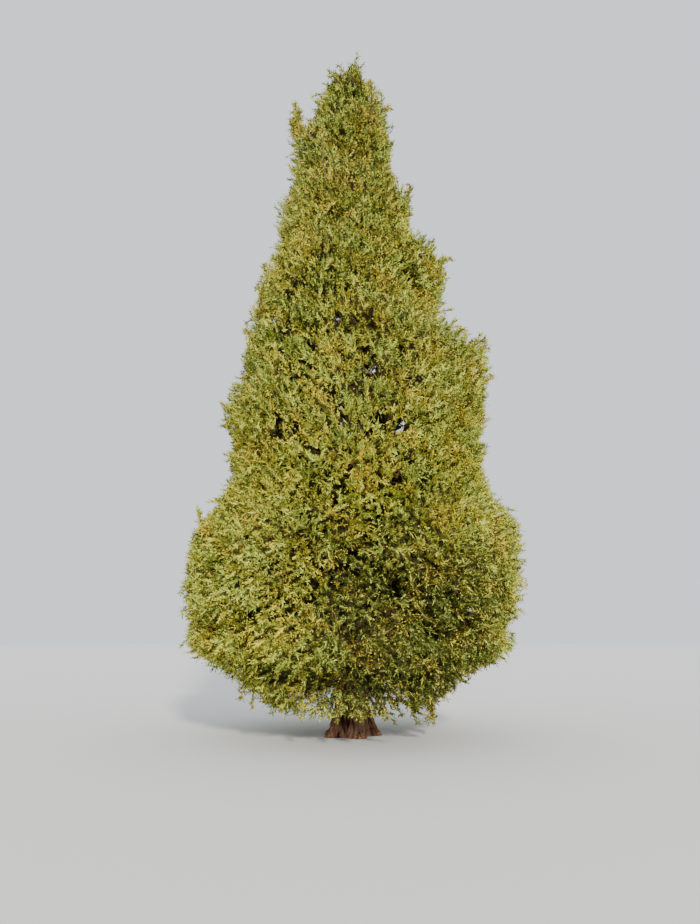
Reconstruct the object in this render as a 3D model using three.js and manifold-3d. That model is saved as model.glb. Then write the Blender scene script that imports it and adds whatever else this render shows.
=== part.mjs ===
// An incense cedar that stands alone in open ground, as separate solids: the trunk from its flat
// cut at ground level to its tip, the boughs of the lower tiers, and the masses of foliage that
// stand round the trunk in tiers, each with a dense core, a stem, twigs and toothed sprays.
// Millimetres, +Z up. The origin is the centre of the trunk's flat cut, and -Y faces the viewer.
import * as THREE from "three";
import { mergeVertices } from "three/addons/utils/BufferGeometryUtils.js";
import Module from "manifold-3d";

const wasm = await Module();
wasm.setup();

// The tree's driving sizes
const HEIGHT = 13000;
const UPSWEEP = 0.35; // how much the foliage rises for each millimetre outwards
const HEM = { height: 340, flat: 1300, slope: 0.72 }; // the crown's lower edge, level, then rising
const GAP = 0.3; // between two pieces that meet
const SPACE_MARGIN = 9; // between a mass and the edge of its own space
const GOLDEN_TURN = THREE.MathUtils.degToRad(137.5);
const UP = new THREE.Vector3(0, 0, 1);

// The trunk: a taper, a root flare with buttresses, and a slight sway
const TRUNK_TOP = 12050;
const TRUNK_ROOT_RADIUS = 245;
const TRUNK_TOP_RADIUS = 13;
const TRUNK_TAPER_POWER = 0.92;
const FLARE = { width: 175, height: 300, buttresses: 5, depth: 0.2, fade: 650 };
const SWAY = { x: 34, y: 26, wave: 3900 };
const TRUNK_SIDES = 20;
const TRUNK_LEVELS = 14;
const TRUNK_LEVEL_POWER = 2.1; // packs the rings together near the root flare

// The crown's edge: how far it reaches at a height to the left and the right of the photograph,
// to the viewer in front and away to the back, which follow the sides without their steps
const CROWN_EDGE = [
  { height: 0, left: 2250, right: 2250, front: 2250, back: 2250 },
  { height: 1500, left: 2700, right: 2660, front: 2600, back: 2640 },
  { height: 2300, left: 2820, right: 2880, front: 2720, back: 2800 },
  { height: 3100, left: 2790, right: 2950, front: 2720, back: 2800 },
  { height: 3400, left: 2660, right: 2880, front: 2680, back: 2740 },
  { height: 3700, left: 2400, right: 2500, front: 2630, back: 2660 },
  { height: 4050, left: 2200, right: 2420, front: 2570, back: 2560 },
  { height: 4650, left: 2180, right: 2360, front: 2470, back: 2440 },
  { height: 5200, left: 2310, right: 2460, front: 2380, back: 2420 },
  { height: 5750, left: 2100, right: 2520, front: 2280, back: 2380 },
  { height: 6400, left: 2050, right: 2530, front: 2150, back: 2220 },
  { height: 6700, left: 2030, right: 1920, front: 2070, back: 2100 },
  { height: 7050, left: 1850, right: 1660, front: 1980, back: 1960 },
  { height: 7450, left: 1780, right: 1720, front: 1880, back: 1860 },
  { height: 7950, left: 1780, right: 1840, front: 1740, back: 1780 },
  { height: 8300, left: 1500, right: 1840, front: 1640, back: 1700 },
  { height: 8550, left: 1460, right: 1400, front: 1560, back: 1600 },
  { height: 8900, left: 1460, right: 1120, front: 1460, back: 1460 },
  { height: 9500, left: 1420, right: 1160, front: 1300, back: 1280 },
  { height: 10000, left: 1200, right: 840, front: 1160, back: 1160 },
  { height: 11100, left: 1220, right: 800, front: 900, back: 920 },
  { height: 11450, left: 840, right: 800, front: 800, back: 820 },
  { height: 11850, left: 780, right: 660, front: 680, back: 690 },
  { height: 12150, left: 600, right: 450, front: 540, back: 560 },
  { height: 12650, left: 420, right: 290, front: 350, back: 360 },
  { height: HEIGHT, left: 150, right: 190, front: 170, back: 170 },
];

// The tiers, from the hem to the top: how many masses stand round the trunk, the turn of the
// first, how steeply a bough or stem climbs to its mass, and the height of a mass's middle
const TIERS = [
  { name: "hem", count: 5, turn: 52, climb: -0.3, heart: 1130 },
  { name: "skirt", count: 6, turn: 4, climb: -0.05, heart: 2500 },
  { name: "broad", count: 6, turn: 33, climb: 0.3, heart: 3990 },
  { name: "waist", count: 5, turn: -6, climb: 0.4, heart: 4950 },
  { name: "middle", count: 4, turn: 24, climb: 0.5, heart: 6150 },
  { name: "shoulder", count: 4, turn: -20, climb: 0.7, heart: 7750 },
  { name: "high", count: 3, turn: 8, climb: 0.8, heart: 9300 },
  { name: "crest", count: 3, turn: 176, climb: 0.9, heart: 10850 },
];
const BOUGH_TIERS = 4; // the lowest tiers, whose boughs show between the masses
const TOP = { heart: 12000, reach: 520 }; // the mass round the trunk's tip

// The form of one mass, where it can be as shares of the crown's reach on its side
const BOUGH_SHARE = 0.36; // where a bough ends
const HEART_SHARE = 0.64; // where the middle of its mass lies
const ROOM_AT_BOUGH = 70; // between a bough's tip and the foliage round the stem
const MASS_ROUNDING = 0.06; // how far a mass draws in where it meets its neighbours
const ROUNDING_POWER = 4; // how late it does so on the way to them
const TURN_SCATTER = 5; // degrees either way
const HEART_SCATTER = 170; // of the height of a mass's middle
const REACH_SCATTER = 0.035;

// Limbs
const BOUGH_GIRTH = 0.027; // a bough's radius at its root, for the reach of its mass
const BOUGH_TIP_SHARE = 0.7;
const BOUGH_COLLAR = { girth: 0.45, fade: 0.22 }; // where a bough leaves the trunk
const BOUGH_SAG = 0.06;
const BOUGH_SIDES = 6;
const BOUGH_STEPS = 2;
const CLIMB_KEPT = 0.8; // how much of its climb a stem keeps on the way to its mass's middle
const STEM_TIP_RADIUS = 7;
const STEM_LEAD = 0.42; // how far a stem keeps its bough's direction, as a share of its length
const STEM_TIP_RISE = 0.55; // how steeply the way from a mass's middle to its stem's tip rises
const STEM_UPTURN = 250; // how far below its tip a stem starts to turn up
const STEM_SIDES = 5;
const STEM_STEPS = 4;
const TWIG_ROOT_RADIUS = 16;
const TWIG_TIP_RADIUS = 8;
const TWIG_LEAD = 0.45;
const TWIG_SIDES = 3;
const TWIG_STEPS = 2;
const TWIG_BACK = 0.25; // how far back along the stem a twig leaves it, of the stem's length
const TWIG_ZONE = { first: 0.2, last: 0.9 }; // the stretch of the stem that has twigs

// Twigs and sprays on one mass
const TWIGS_ON_STEM = 6;
const FACING_RISE = 0.55; // how much the side of a mass that carries twigs faces up
const FACING_SPREAD = 0.85; // 1 covers half of all directions
const TWIG_SCATTER = 0.3; // radians
const SPRAYS_ON_TIP = 2; // a twig has one, and the tree's very tip one more
const SPRAY_LONGEST = 700;
const SPRAY_SHORTEST = 190;
const SPRAY_GROWTH = 0.15; // how much longer than the way left a spray may start out
const SPRAY_TRIM = 0.93; // what is kept of its length each time it doesn't fit
const SPRAY_HALF_WIDTH = 0.38; // as shares of the spray's length
const SPRAY_THICKNESS = 0.06;
const SPRAY_TOOTH_AT = 0.5;
const SPRAY_NOTCH_AT = 0.66;
const SPRAY_NOTCH = 0.42; // how deep the outline is cut between a tooth and the tip
const SPRAY_ROOT_DEPTH = 0.15; // how deep its root lies in the core, as a share of the way out
const SPRAY_SPREAD = 0.85; // radians between two sprays of one limb
const SPRAY_SCATTER = 0.2;
const SPRAY_LIFT = 0.2; // how much sprays turn up from their way out of the mass

// The dense inner part of a mass
const CORE_SHARE = 0.9; // how far it fills the space towards the masses beside it
const CORE_SHRINK = 0.34; // and how much less towards the side that carries the twigs
const CORE_ROUGHNESS = 0.09;
const CORE_PARTS = 3; // faces along each side of the box that it is rounded from
const MARCH_STEP = 20; // how finely the way to the edge of a space is paced out

// A repeatable source of numbers from 0 to 1
function seededDraws(seed) {
  let state = (seed * 2654435761) >>> 0;
  const draw = () => {
    state = (Math.imul(state, 1664525) + 1013904223) >>> 0;
    return state / 4294967296;
  };
  draw();
  return draw;
}

// A draw spread evenly from -size to size
function either(draw, size) {
  return (2 * draw() - 1) * size;
}

// A closed three.js geometry as a solid that can be joined and cut
function solidOf(geometry) {
  geometry.deleteAttribute("normal");
  geometry.deleteAttribute("uv");
  const merged = mergeVertices(geometry, 1e-3);
  const corners = [];
  const index = merged.index.array;
  for (let i = 0; i < index.length; i += 3) {
    const [a, b, c] = index.subarray(i, i + 3);
    if (a !== b && b !== c && c !== a) corners.push(a, b, c);
  }
  return new wasm.Manifold(
    new wasm.Mesh({
      numProp: 3,
      vertProperties: merged.attributes.position.array,
      triVerts: new Uint32Array(corners),
    }),
  );
}

function geometryOf(solid) {
  const mesh = solid.getMesh();
  return new THREE.BufferGeometry()
    .setAttribute("position", new THREE.BufferAttribute(mesh.vertProperties, 3))
    .setIndex(new THREE.BufferAttribute(mesh.triVerts, 1));
}

// Joins pieces, then keeps the largest body: a loose scrap or a sealed hollow is left out
function joined(pieces, cutter) {
  let whole = pieces.reduce((sum, piece) => sum.add(piece));
  if (cutter) whole = whole.subtract(cutter);
  return whole.decompose().reduce((best, body) => (body.volume() > best.volume() ? body : best));
}

// Moves every vertex of a geometry to the place that a function gives it
function reshape(geometry, place) {
  const position = geometry.attributes.position;
  const point = new THREE.Vector3();
  for (let i = 0; i < position.count; i += 1) {
    point.copy(place(point.fromBufferAttribute(position, i)));
    position.setXYZ(i, point.x, point.y, point.z);
  }
  return geometry;
}

function trunkCentre(z) {
  const swing = z / SWAY.wave;
  return new THREE.Vector3(SWAY.x * Math.sin(swing), SWAY.y * (1 - Math.cos(swing)), z);
}

function trunkRadius(z) {
  const height = THREE.MathUtils.clamp(z / TRUNK_TOP, 0, 1);
  const taper = Math.pow(1 - height, TRUNK_TAPER_POWER);
  const stem = TRUNK_TOP_RADIUS + (TRUNK_ROOT_RADIUS - TRUNK_TOP_RADIUS) * taper;
  return stem + FLARE.width * Math.exp(-z / FLARE.height);
}

// The trunk as a cylinder whose rings are set to its taper and buttresses, grown all round by a
// little where it is the cutter that keeps other pieces clear
function trunkSolid(extra) {
  const tube = new THREE.CylinderGeometry(1, 1, 1, TRUNK_SIDES, TRUNK_LEVELS);
  reshape(tube, (v) => {
    const z = TRUNK_TOP * Math.pow(v.y + 0.5, TRUNK_LEVEL_POWER);
    const level = z * (1 + (2 * extra) / TRUNK_TOP) - extra;
    const around = Math.atan2(v.z, v.x);
    const buttress = Math.cos(FLARE.buttresses * around) * FLARE.depth * Math.exp(-z / FLARE.fade);
    const radius = (trunkRadius(z) * (1 + buttress) + extra) * Math.hypot(v.x, v.z);
    const centre = trunkCentre(z);
    return v.set(centre.x + radius * Math.cos(around), centre.y - radius * Math.sin(around), level);
  });
  return solidOf(tube);
}

// A round limb along a curve, with a radius for each share of its way
function limbSolid(curve, radiusAt, sides, steps) {
  const tube = new THREE.CylinderGeometry(1, 1, 1, sides, steps);
  const reference = Math.abs(curve.getTangent(0.5).z) > 0.93 ? new THREE.Vector3(1, 0, 0) : UP;
  return solidOf(
    reshape(tube, (v) => {
      const share = v.y + 0.5;
      const along = curve.getTangent(share);
      const side = new THREE.Vector3().crossVectors(along, reference).normalize();
      const over = new THREE.Vector3().crossVectors(side, along);
      const radius = radiusAt(share);
      return curve
        .getPoint(share)
        .addScaledVector(side, v.x * radius)
        .addScaledVector(over, v.z * radius);
    }),
  );
}

function taper(root, tip) {
  return (share) => root + (tip - root) * share;
}

// How far the crown reaches at a height along a level way: east is the part of the way that leads
// to the right of the photograph, and north the part that leads to the back
function crownReach(z, east, north) {
  if (z >= HEIGHT) return 0;
  const i = CROWN_EDGE.findIndex((ring) => ring.height > z);
  const [low, high] = [CROWN_EDGE[i - 1], CROWN_EDGE[i]];
  const share = (z - low.height) / (high.height - low.height);
  const reach = (side) => low[side] + (high[side] - low[side]) * share;
  const across = reach(east < 0 ? "left" : "right");
  const deep = reach(north < 0 ? "front" : "back");
  return across * east * east + deep * north * north;
}

// The facts of one mass of a tier: where its middle lies and where its stem begins
function tierMass(tier, tierIndex, k, draw) {
  const turn = tier.turn + (360 * k) / tier.count + either(draw, TURN_SCATTER);
  const azimuth = THREE.MathUtils.degToRad(turn);
  const outward = new THREE.Vector3(Math.cos(azimuth), Math.sin(azimuth), 0);
  const scatter = 1 + either(draw, REACH_SCATTER);
  const height = tier.heart + either(draw, HEART_SCATTER);
  const reach = crownReach(height, outward.x, outward.y) * scatter;
  const heartRadius = HEART_SHARE * reach;
  const onBough = tierIndex < BOUGH_TIERS;
  const rootRadius = onBough ? BOUGH_SHARE * reach : trunkRadius(height);
  const rootHeight = height - (heartRadius - rootRadius) * tier.climb * CLIMB_KEPT;
  return {
    name: `${tier.name}_mass_${k + 1}`,
    boughName: onBough ? `${tier.name}_bough_${k + 1}` : null,
    outward,
    reach,
    scatter,
    heart: outward.clone().multiplyScalar(heartRadius).setZ(height),
    inner: onBough ? rootRadius + ROOM_AT_BOUGH : 0,
    upsweep: UPSWEEP,
    facing: outward.clone().setZ(FACING_RISE).normalize(),
    tipHeading: outward.clone().setZ(STEM_TIP_RISE).normalize(),
    tipSprays: SPRAYS_ON_TIP,
    foot: trunkCentre(rootHeight - rootRadius * tier.climb),
    root: outward.clone().multiplyScalar(rootRadius).setZ(rootHeight),
  };
}

// The mass round the trunk's tip, which carries the tree's own tip
function topMass() {
  const root = trunkCentre(TRUNK_TOP).addScaledVector(UP, GAP);
  return {
    name: "top_mass",
    boughName: null,
    outward: new THREE.Vector3(1, 0, 0),
    reach: TOP.reach,
    scatter: 1,
    heart: new THREE.Vector3(0, 0, TOP.heart),
    inner: 0,
    upsweep: 0,
    facing: UP,
    tipHeading: UP,
    tipSprays: SPRAYS_ON_TIP + 1,
    foot: root,
    root,
  };
}

const layout = seededDraws(7);
const masses = TIERS.flatMap((tier, i) =>
  Array.from({ length: tier.count }, (_, k) => tierMass(tier, i, k, layout)),
);
masses.push(topMass());

// Space is shared out in a frame where the upswept foliage lies level
function levelled(p) {
  return new THREE.Vector3(p.x, p.y, p.z - UPSWEEP * Math.hypot(p.x, p.y));
}

// The wall between two masses stands halfway between their middles: which way it lies, how far
// along that way the mass's own middle is, and how much room there is from there to the wall
function wallBetween(mass, other) {
  const here = levelled(mass.heart);
  const way = levelled(other.heart).sub(here);
  const normal = way.clone().normalize();
  return { normal, from: here.dot(normal), room: way.length() / 2 };
}

for (const mass of masses) {
  mass.walls = masses.filter((other) => other !== mass).map((other) => wallBetween(mass, other));
}

// Whether a point lies in a mass's own share of the crown, clear of the trunk, the ground and the
// masses beside it by a margin. The share bulges in its middle and draws in at its walls.
function inSpace(mass, p, margin) {
  const centre = trunkCentre(Math.min(p.z, TRUNK_TOP));
  const x = p.x - centre.x;
  const y = p.y - centre.y;
  const distance = Math.hypot(x, y);
  const nearest = mass.inner || trunkRadius(p.z) + 2 * margin;
  if (p.z < TRUNK_TOP && distance < nearest) return false;
  const hem = HEM.height + HEM.slope * Math.max(distance - HEM.flat, 0);
  if (p.z < hem + margin) return false;
  const flat = levelled(p);
  let crowding = 0;
  for (const wall of mass.walls) {
    const way = flat.dot(wall.normal) - wall.from;
    if (way > wall.room - margin) return false;
    crowding = Math.max(crowding, way / wall.room);
  }
  const run = Math.max(distance, margin);
  const edge = crownReach(p.z, x / run, y / run) * mass.scatter;
  return distance < edge * (1 - MASS_ROUNDING * Math.pow(crowding, ROUNDING_POWER));
}

// How far a straight way from a mass's middle runs before it leaves the space
function wayOut(mass, heading) {
  const p = mass.heart.clone();
  let length = 0;
  while (length < HEIGHT) {
    p.addScaledVector(heading, MARCH_STEP);
    if (!inSpace(mass, p, SPACE_MARGIN)) break;
    length += MARCH_STEP;
  }
  return length;
}

// How far the core fills that way
function coreShare(mass, heading) {
  return CORE_SHARE - CORE_SHRINK * Math.max(heading.dot(mass.facing), 0);
}

// A limb ends inside the core, where the roots of its sprays lie
function limbEnd(mass, heading) {
  const way = wayOut(mass, heading);
  const share = coreShare(mass, heading) - SPRAY_ROOT_DEPTH;
  const point = mass.heart.clone().addScaledVector(heading, way * share);
  return { point, wayLeft: way * (1 - share) };
}

// The core: a box rounded out so that each of its corners stops at its own share of the way out
function coreSolid(mass, draw) {
  const ball = new THREE.BoxGeometry(2, 2, 2, CORE_PARTS, CORE_PARTS, CORE_PARTS);
  const turn = Math.atan2(mass.outward.y, mass.outward.x);
  const lengths = new Map();
  return solidOf(
    reshape(ball, (v) => {
      const key = v.toArray().map((x) => x.toFixed(2)).join();
      const heading = v.clone().applyAxisAngle(UP, turn);
      heading.z += mass.upsweep * v.x;
      heading.normalize();
      if (!lengths.has(key)) {
        const share = coreShare(mass, heading) + either(draw, CORE_ROUGHNESS);
        lengths.set(key, Math.max(MARCH_STEP, wayOut(mass, heading) * share));
      }
      return v.copy(mass.heart).addScaledVector(heading, lengths.get(key));
    }),
  );
}

// The bough's way, from the trunk's middle to where its mass begins
function boughCurve(mass) {
  const along = mass.root.clone().sub(mass.foot);
  const bend = mass.foot.clone().addScaledVector(along, 0.5);
  bend.addScaledVector(UP, -BOUGH_SAG * along.length());
  return new THREE.QuadraticBezierCurve3(mass.foot, bend, mass.root);
}

function boughRadius(mass) {
  return BOUGH_GIRTH * mass.reach;
}

// One bough: a tapering limb from the trunk, with a collar, cut clear of the trunk at its foot
function boughSolid(mass, trunkCutter) {
  const radiusAt = (share) => {
    const collar = BOUGH_COLLAR.girth * Math.exp(-share / BOUGH_COLLAR.fade);
    return boughRadius(mass) * (1 + (BOUGH_TIP_SHARE - 1) * share + collar);
  };
  return joined([limbSolid(boughCurve(mass), radiusAt, BOUGH_SIDES, BOUGH_STEPS)], trunkCutter);
}

// The stem's way: on from its bough or out of the trunk, then level, and up at the tip
function stemCurve(mass) {
  let start = mass.foot;
  let onward = UP;
  if (mass.boughName) {
    onward = boughCurve(mass).getTangent(1);
    start = mass.root.clone().addScaledVector(onward, GAP);
  } else if (mass.upsweep) {
    onward = mass.root.clone().sub(start).normalize();
  }
  const tip = limbEnd(mass, mass.tipHeading).point;
  const before = start.clone().addScaledVector(onward, STEM_LEAD * tip.distanceTo(start));
  const after = tip.clone().addScaledVector(UP, -STEM_UPTURN);
  return new THREE.CubicBezierCurve3(start, before, after, tip);
}

// Headings spread evenly over the side of a mass that faces out of the crown
function facingHeadings(mass, count, draw) {
  const side = new THREE.Vector3(-mass.outward.y, mass.outward.x, 0);
  const over = new THREE.Vector3().crossVectors(side, mass.facing);
  return Array.from({ length: count }, (_, k) => {
    const ahead = 1 - (FACING_SPREAD * (k + 0.5)) / count;
    const aside = Math.sqrt(1 - ahead * ahead);
    const around = k * GOLDEN_TURN + either(draw, TWIG_SCATTER);
    return mass.facing
      .clone()
      .multiplyScalar(ahead)
      .addScaledVector(side, aside * Math.cos(around))
      .addScaledVector(over, aside * Math.sin(around));
  });
}

// A twig leaves the stem along it, then bends towards its end
function twigCurve(stem, end) {
  const first = stem.getPoint(0);
  const line = stem.getPoint(1).sub(first);
  const level = end.clone().sub(first).dot(line) / line.lengthSq();
  const share = THREE.MathUtils.clamp(level - TWIG_BACK, TWIG_ZONE.first, TWIG_ZONE.last);
  const start = stem.getPoint(share);
  const lead = TWIG_LEAD * start.distanceTo(end);
  const bend = start.clone().addScaledVector(stem.getTangent(share), lead);
  return new THREE.QuadraticBezierCurve3(start, bend, end);
}

// The outline of one flat spray, as how far ahead and aside each of its six corners lies: the
// root, a tooth and a notch on one side, the tip, and a notch and a tooth on the other
const SPRAY_OUTLINE = [
  [0, 0],
  [SPRAY_TOOTH_AT, SPRAY_HALF_WIDTH],
  [SPRAY_NOTCH_AT, SPRAY_HALF_WIDTH * SPRAY_NOTCH],
  [1, 0],
  [SPRAY_NOTCH_AT, -SPRAY_HALF_WIDTH * SPRAY_NOTCH],
  [SPRAY_TOOTH_AT, -SPRAY_HALF_WIDTH],
];

function sprayCorners(root, heading, across, length) {
  return SPRAY_OUTLINE.map(([ahead, aside]) =>
    root
      .clone()
      .addScaledVector(heading, ahead * length)
      .addScaledVector(across, aside * length),
  );
}

// One toothed spray: two low pyramids back to back, whose rim is the outline
function spraySolid(root, heading, across, length) {
  const thick = new THREE.Vector3().crossVectors(heading, across).normalize();
  const corners = sprayCorners(root, heading, across, length);
  const middle = root.clone().addScaledVector(heading, 0.5 * length);
  const half = 0.5 * SPRAY_THICKNESS * length;
  const profile = [new THREE.Vector2(0, -1), new THREE.Vector2(1, 0), new THREE.Vector2(0, 1)];
  const blade = new THREE.LatheGeometry(profile, corners.length);
  return solidOf(
    reshape(blade, (v) => {
      const face = Math.round(v.y);
      if (face) return v.copy(middle).addScaledVector(thick, -face * half);
      const turn = (Math.atan2(v.x, v.z) / (2 * Math.PI)) * corners.length;
      return v.copy(corners[(Math.round(turn) + corners.length) % corners.length]);
    }),
  );
}

// Sprays that fan out from the end of a limb, each trimmed until it fits the space, or skipped
function spraysOn(mass, outwards, count, draw) {
  const sprays = [];
  const end = limbEnd(mass, outwards);
  const ahead = outwards.clone().addScaledVector(UP, SPRAY_LIFT).normalize();
  const side = new THREE.Vector3().crossVectors(ahead, mass.outward).normalize();
  const over = new THREE.Vector3().crossVectors(side, ahead).normalize();
  const roll = draw() * Math.PI;
  const flat = side.clone().multiplyScalar(Math.sin(roll)).addScaledVector(over, Math.cos(roll));
  for (let k = 0; k < count; k += 1) {
    const aside = SPRAY_SPREAD * (k - (count - 1) / 2) + either(draw, SPRAY_SCATTER);
    const heading = ahead.clone().multiplyScalar(Math.cos(aside));
    heading.addScaledVector(flat, Math.sin(aside));
    const across = flat.clone().multiplyScalar(Math.cos(aside));
    across.addScaledVector(ahead, -Math.sin(aside));
    let length = Math.min(end.wayLeft * (1 + SPRAY_GROWTH * draw()), SPRAY_LONGEST);
    while (length > SPRAY_SHORTEST) {
      const rim = sprayCorners(end.point, heading, across, length).slice(1);
      if (rim.every((p) => inSpace(mass, p, SPACE_MARGIN))) break;
      length *= SPRAY_TRIM;
    }
    if (length > SPRAY_SHORTEST) sprays.push(spraySolid(end.point, heading, across, length));
  }
  return sprays;
}

// One mass of foliage: core, stem, twigs and sprays, fused
function massSolid(mass, seed, trunkCutter) {
  const draw = seededDraws(seed);
  const stem = stemCurve(mass);
  const stemRadius = taper(boughRadius(mass) * BOUGH_TIP_SHARE, STEM_TIP_RADIUS);
  const twigRadius = taper(TWIG_ROOT_RADIUS, TWIG_TIP_RADIUS);
  const pieces = [coreSolid(mass, draw), limbSolid(stem, stemRadius, STEM_SIDES, STEM_STEPS)];
  pieces.push(...spraysOn(mass, mass.tipHeading, mass.tipSprays, draw));
  for (const heading of facingHeadings(mass, TWIGS_ON_STEM, draw)) {
    const sprays = spraysOn(mass, heading, 1, draw);
    if (!sprays.length) continue;
    const twig = twigCurve(stem, limbEnd(mass, heading).point);
    pieces.push(limbSolid(twig, twigRadius, TWIG_SIDES, TWIG_STEPS), ...sprays);
  }
  return joined(pieces, mass.boughName ? null : trunkCutter);
}

const BARK = { color: 0x6b4a38, roughness: 0.95, metalness: 0 };
const FOLIAGE = { color: 0x7c8228, roughness: 0.7, metalness: 0 };

function meshOf(name, solid, finish) {
  const mesh = new THREE.Mesh(geometryOf(solid), new THREE.MeshStandardMaterial(finish));
  mesh.name = name;
  return mesh;
}

function incenseCedar() {
  const tree = new THREE.Group();
  const trunkCutter = trunkSolid(GAP);
  tree.add(meshOf("trunk", trunkSolid(0), BARK));
  masses.forEach((mass, i) => {
    if (mass.boughName) tree.add(meshOf(mass.boughName, boughSolid(mass, trunkCutter), BARK));
    tree.add(meshOf(mass.name, massSolid(mass, i, trunkCutter), FOLIAGE));
  });
  return tree;
}

export default incenseCedar();
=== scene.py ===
# %% [markdown]
# # An incense cedar, from its frame to its foliage
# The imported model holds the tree's plain solids: a trunk, 22 boughs and 37 masses of foliage.
# This script dresses them. Each mass gives way to a stem with twigs, branchlets and thousands
# of small flat sprays, which grow by the same rule as the solids and keep to the same spaces.
# Everything is in metres, +Z up, with the origin in the middle of the trunk's flat cut.

# %% Load the frame
import math
from collections import namedtuple
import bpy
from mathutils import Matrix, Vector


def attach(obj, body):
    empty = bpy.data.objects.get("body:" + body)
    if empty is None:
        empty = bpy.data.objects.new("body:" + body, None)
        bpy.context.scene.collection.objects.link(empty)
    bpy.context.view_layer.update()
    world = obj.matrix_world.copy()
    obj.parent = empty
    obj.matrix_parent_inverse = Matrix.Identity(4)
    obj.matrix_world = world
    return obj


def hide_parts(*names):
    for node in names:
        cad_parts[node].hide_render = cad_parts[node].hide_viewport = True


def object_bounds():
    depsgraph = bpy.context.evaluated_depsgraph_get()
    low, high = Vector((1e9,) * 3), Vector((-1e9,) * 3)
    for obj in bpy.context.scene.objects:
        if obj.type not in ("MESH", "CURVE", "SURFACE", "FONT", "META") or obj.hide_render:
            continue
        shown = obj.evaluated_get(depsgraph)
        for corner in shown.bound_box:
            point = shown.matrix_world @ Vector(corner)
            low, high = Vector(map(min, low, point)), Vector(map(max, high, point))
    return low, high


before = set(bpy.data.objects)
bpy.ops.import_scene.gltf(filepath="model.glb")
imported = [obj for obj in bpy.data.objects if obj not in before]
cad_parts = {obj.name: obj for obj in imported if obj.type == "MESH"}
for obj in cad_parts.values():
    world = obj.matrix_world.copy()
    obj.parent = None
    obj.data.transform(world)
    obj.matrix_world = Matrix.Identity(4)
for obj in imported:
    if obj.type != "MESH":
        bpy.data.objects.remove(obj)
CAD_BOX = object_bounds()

from types import SimpleNamespace

import bpy
import numpy as np

CAD_LOW, CAD_HIGH = ([float(value) for value in corner] for corner in CAD_BOX)
print("the solids reach from", CAD_LOW, "to", CAD_HIGH)

# %% [markdown]
# ## The camera
# The photograph was taken standing, with a phone's wide lens tilted up at a tree about as far
# off as it is tall. Such a lens shows the hem from eye height and the tip from far below, so
# the camera is set before anything else, and every shape is judged through it.

# %% Camera
EYE_HEIGHT = 1.6
CAMERA_DISTANCE = 11.82
CAMERA_PITCH = math.radians(13.76)
PHOTO_WIDTH, PHOTO_HEIGHT = 700, 924
FOCAL_PIXELS = 694.0
SENSOR = 36.0
SIGHT_CENTRE_X = 351.0  # the tree's middle in the photograph

camera_data = bpy.data.cameras.new("camera")
camera_data.sensor_width = SENSOR
camera_data.lens = SENSOR * FOCAL_PIXELS / PHOTO_HEIGHT
camera = bpy.data.objects.new("camera", camera_data)
bpy.context.scene.collection.objects.link(camera)
camera.location = (0.0, -CAMERA_DISTANCE, EYE_HEIGHT)
camera.rotation_euler = (math.pi / 2 + CAMERA_PITCH, 0.0, 0.0)
camera_data.shift_x = (PHOTO_WIDTH / 2 - SIGHT_CENTRE_X) / PHOTO_HEIGHT
bpy.context.scene.camera = camera
print("lens", round(camera_data.lens, 2), "mm")

# %% [markdown]
# ## The trunk's sizes
# The sizes of the solids are given again here, in metres. The trunk thins from a flared foot to
# a slim tip and sways a little on its way up.

# %% Sizes of the trunk
HEIGHT = 13.0
GAP = 0.0003  # between two solids that meet
UP = np.array([0.0, 0.0, 1.0])
TRUNK_TOP = 12.05
TRUNK_ROOT_RADIUS, TRUNK_TOP_RADIUS = 0.245, 0.013
TRUNK_TAPER_POWER = 0.92
FLARE_WIDTH, FLARE_HEIGHT = 0.175, 0.3
SWAY_X, SWAY_Y, SWAY_WAVE = 0.034, 0.026, 3.9


def unit(vectors):
    """Vectors of length one, along the last axis of an array."""
    return vectors / np.linalg.norm(vectors, axis=-1, keepdims=True)


def trunk_centre(z):
    swing = z / SWAY_WAVE
    return np.stack([SWAY_X * np.sin(swing), SWAY_Y * (1 - np.cos(swing)), z + 0.0 * swing], -1)


def trunk_radius(z):
    taper = (1 - np.clip(z / TRUNK_TOP, 0, 1)) ** TRUNK_TAPER_POWER
    stem = TRUNK_TOP_RADIUS + (TRUNK_ROOT_RADIUS - TRUNK_TOP_RADIUS) * taper
    return stem + FLARE_WIDTH * np.exp(-z / FLARE_HEIGHT)


print("the trunk's radius at the ground is", round(float(trunk_radius(0.0)), 3))

# %% [markdown]
# ## The crown's edge
# The crown's edge was read at both sides of the photograph, shoulder by shoulder, and runs
# smoother at the front and the back. Its lower edge is level near the trunk and climbs outside.

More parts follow.
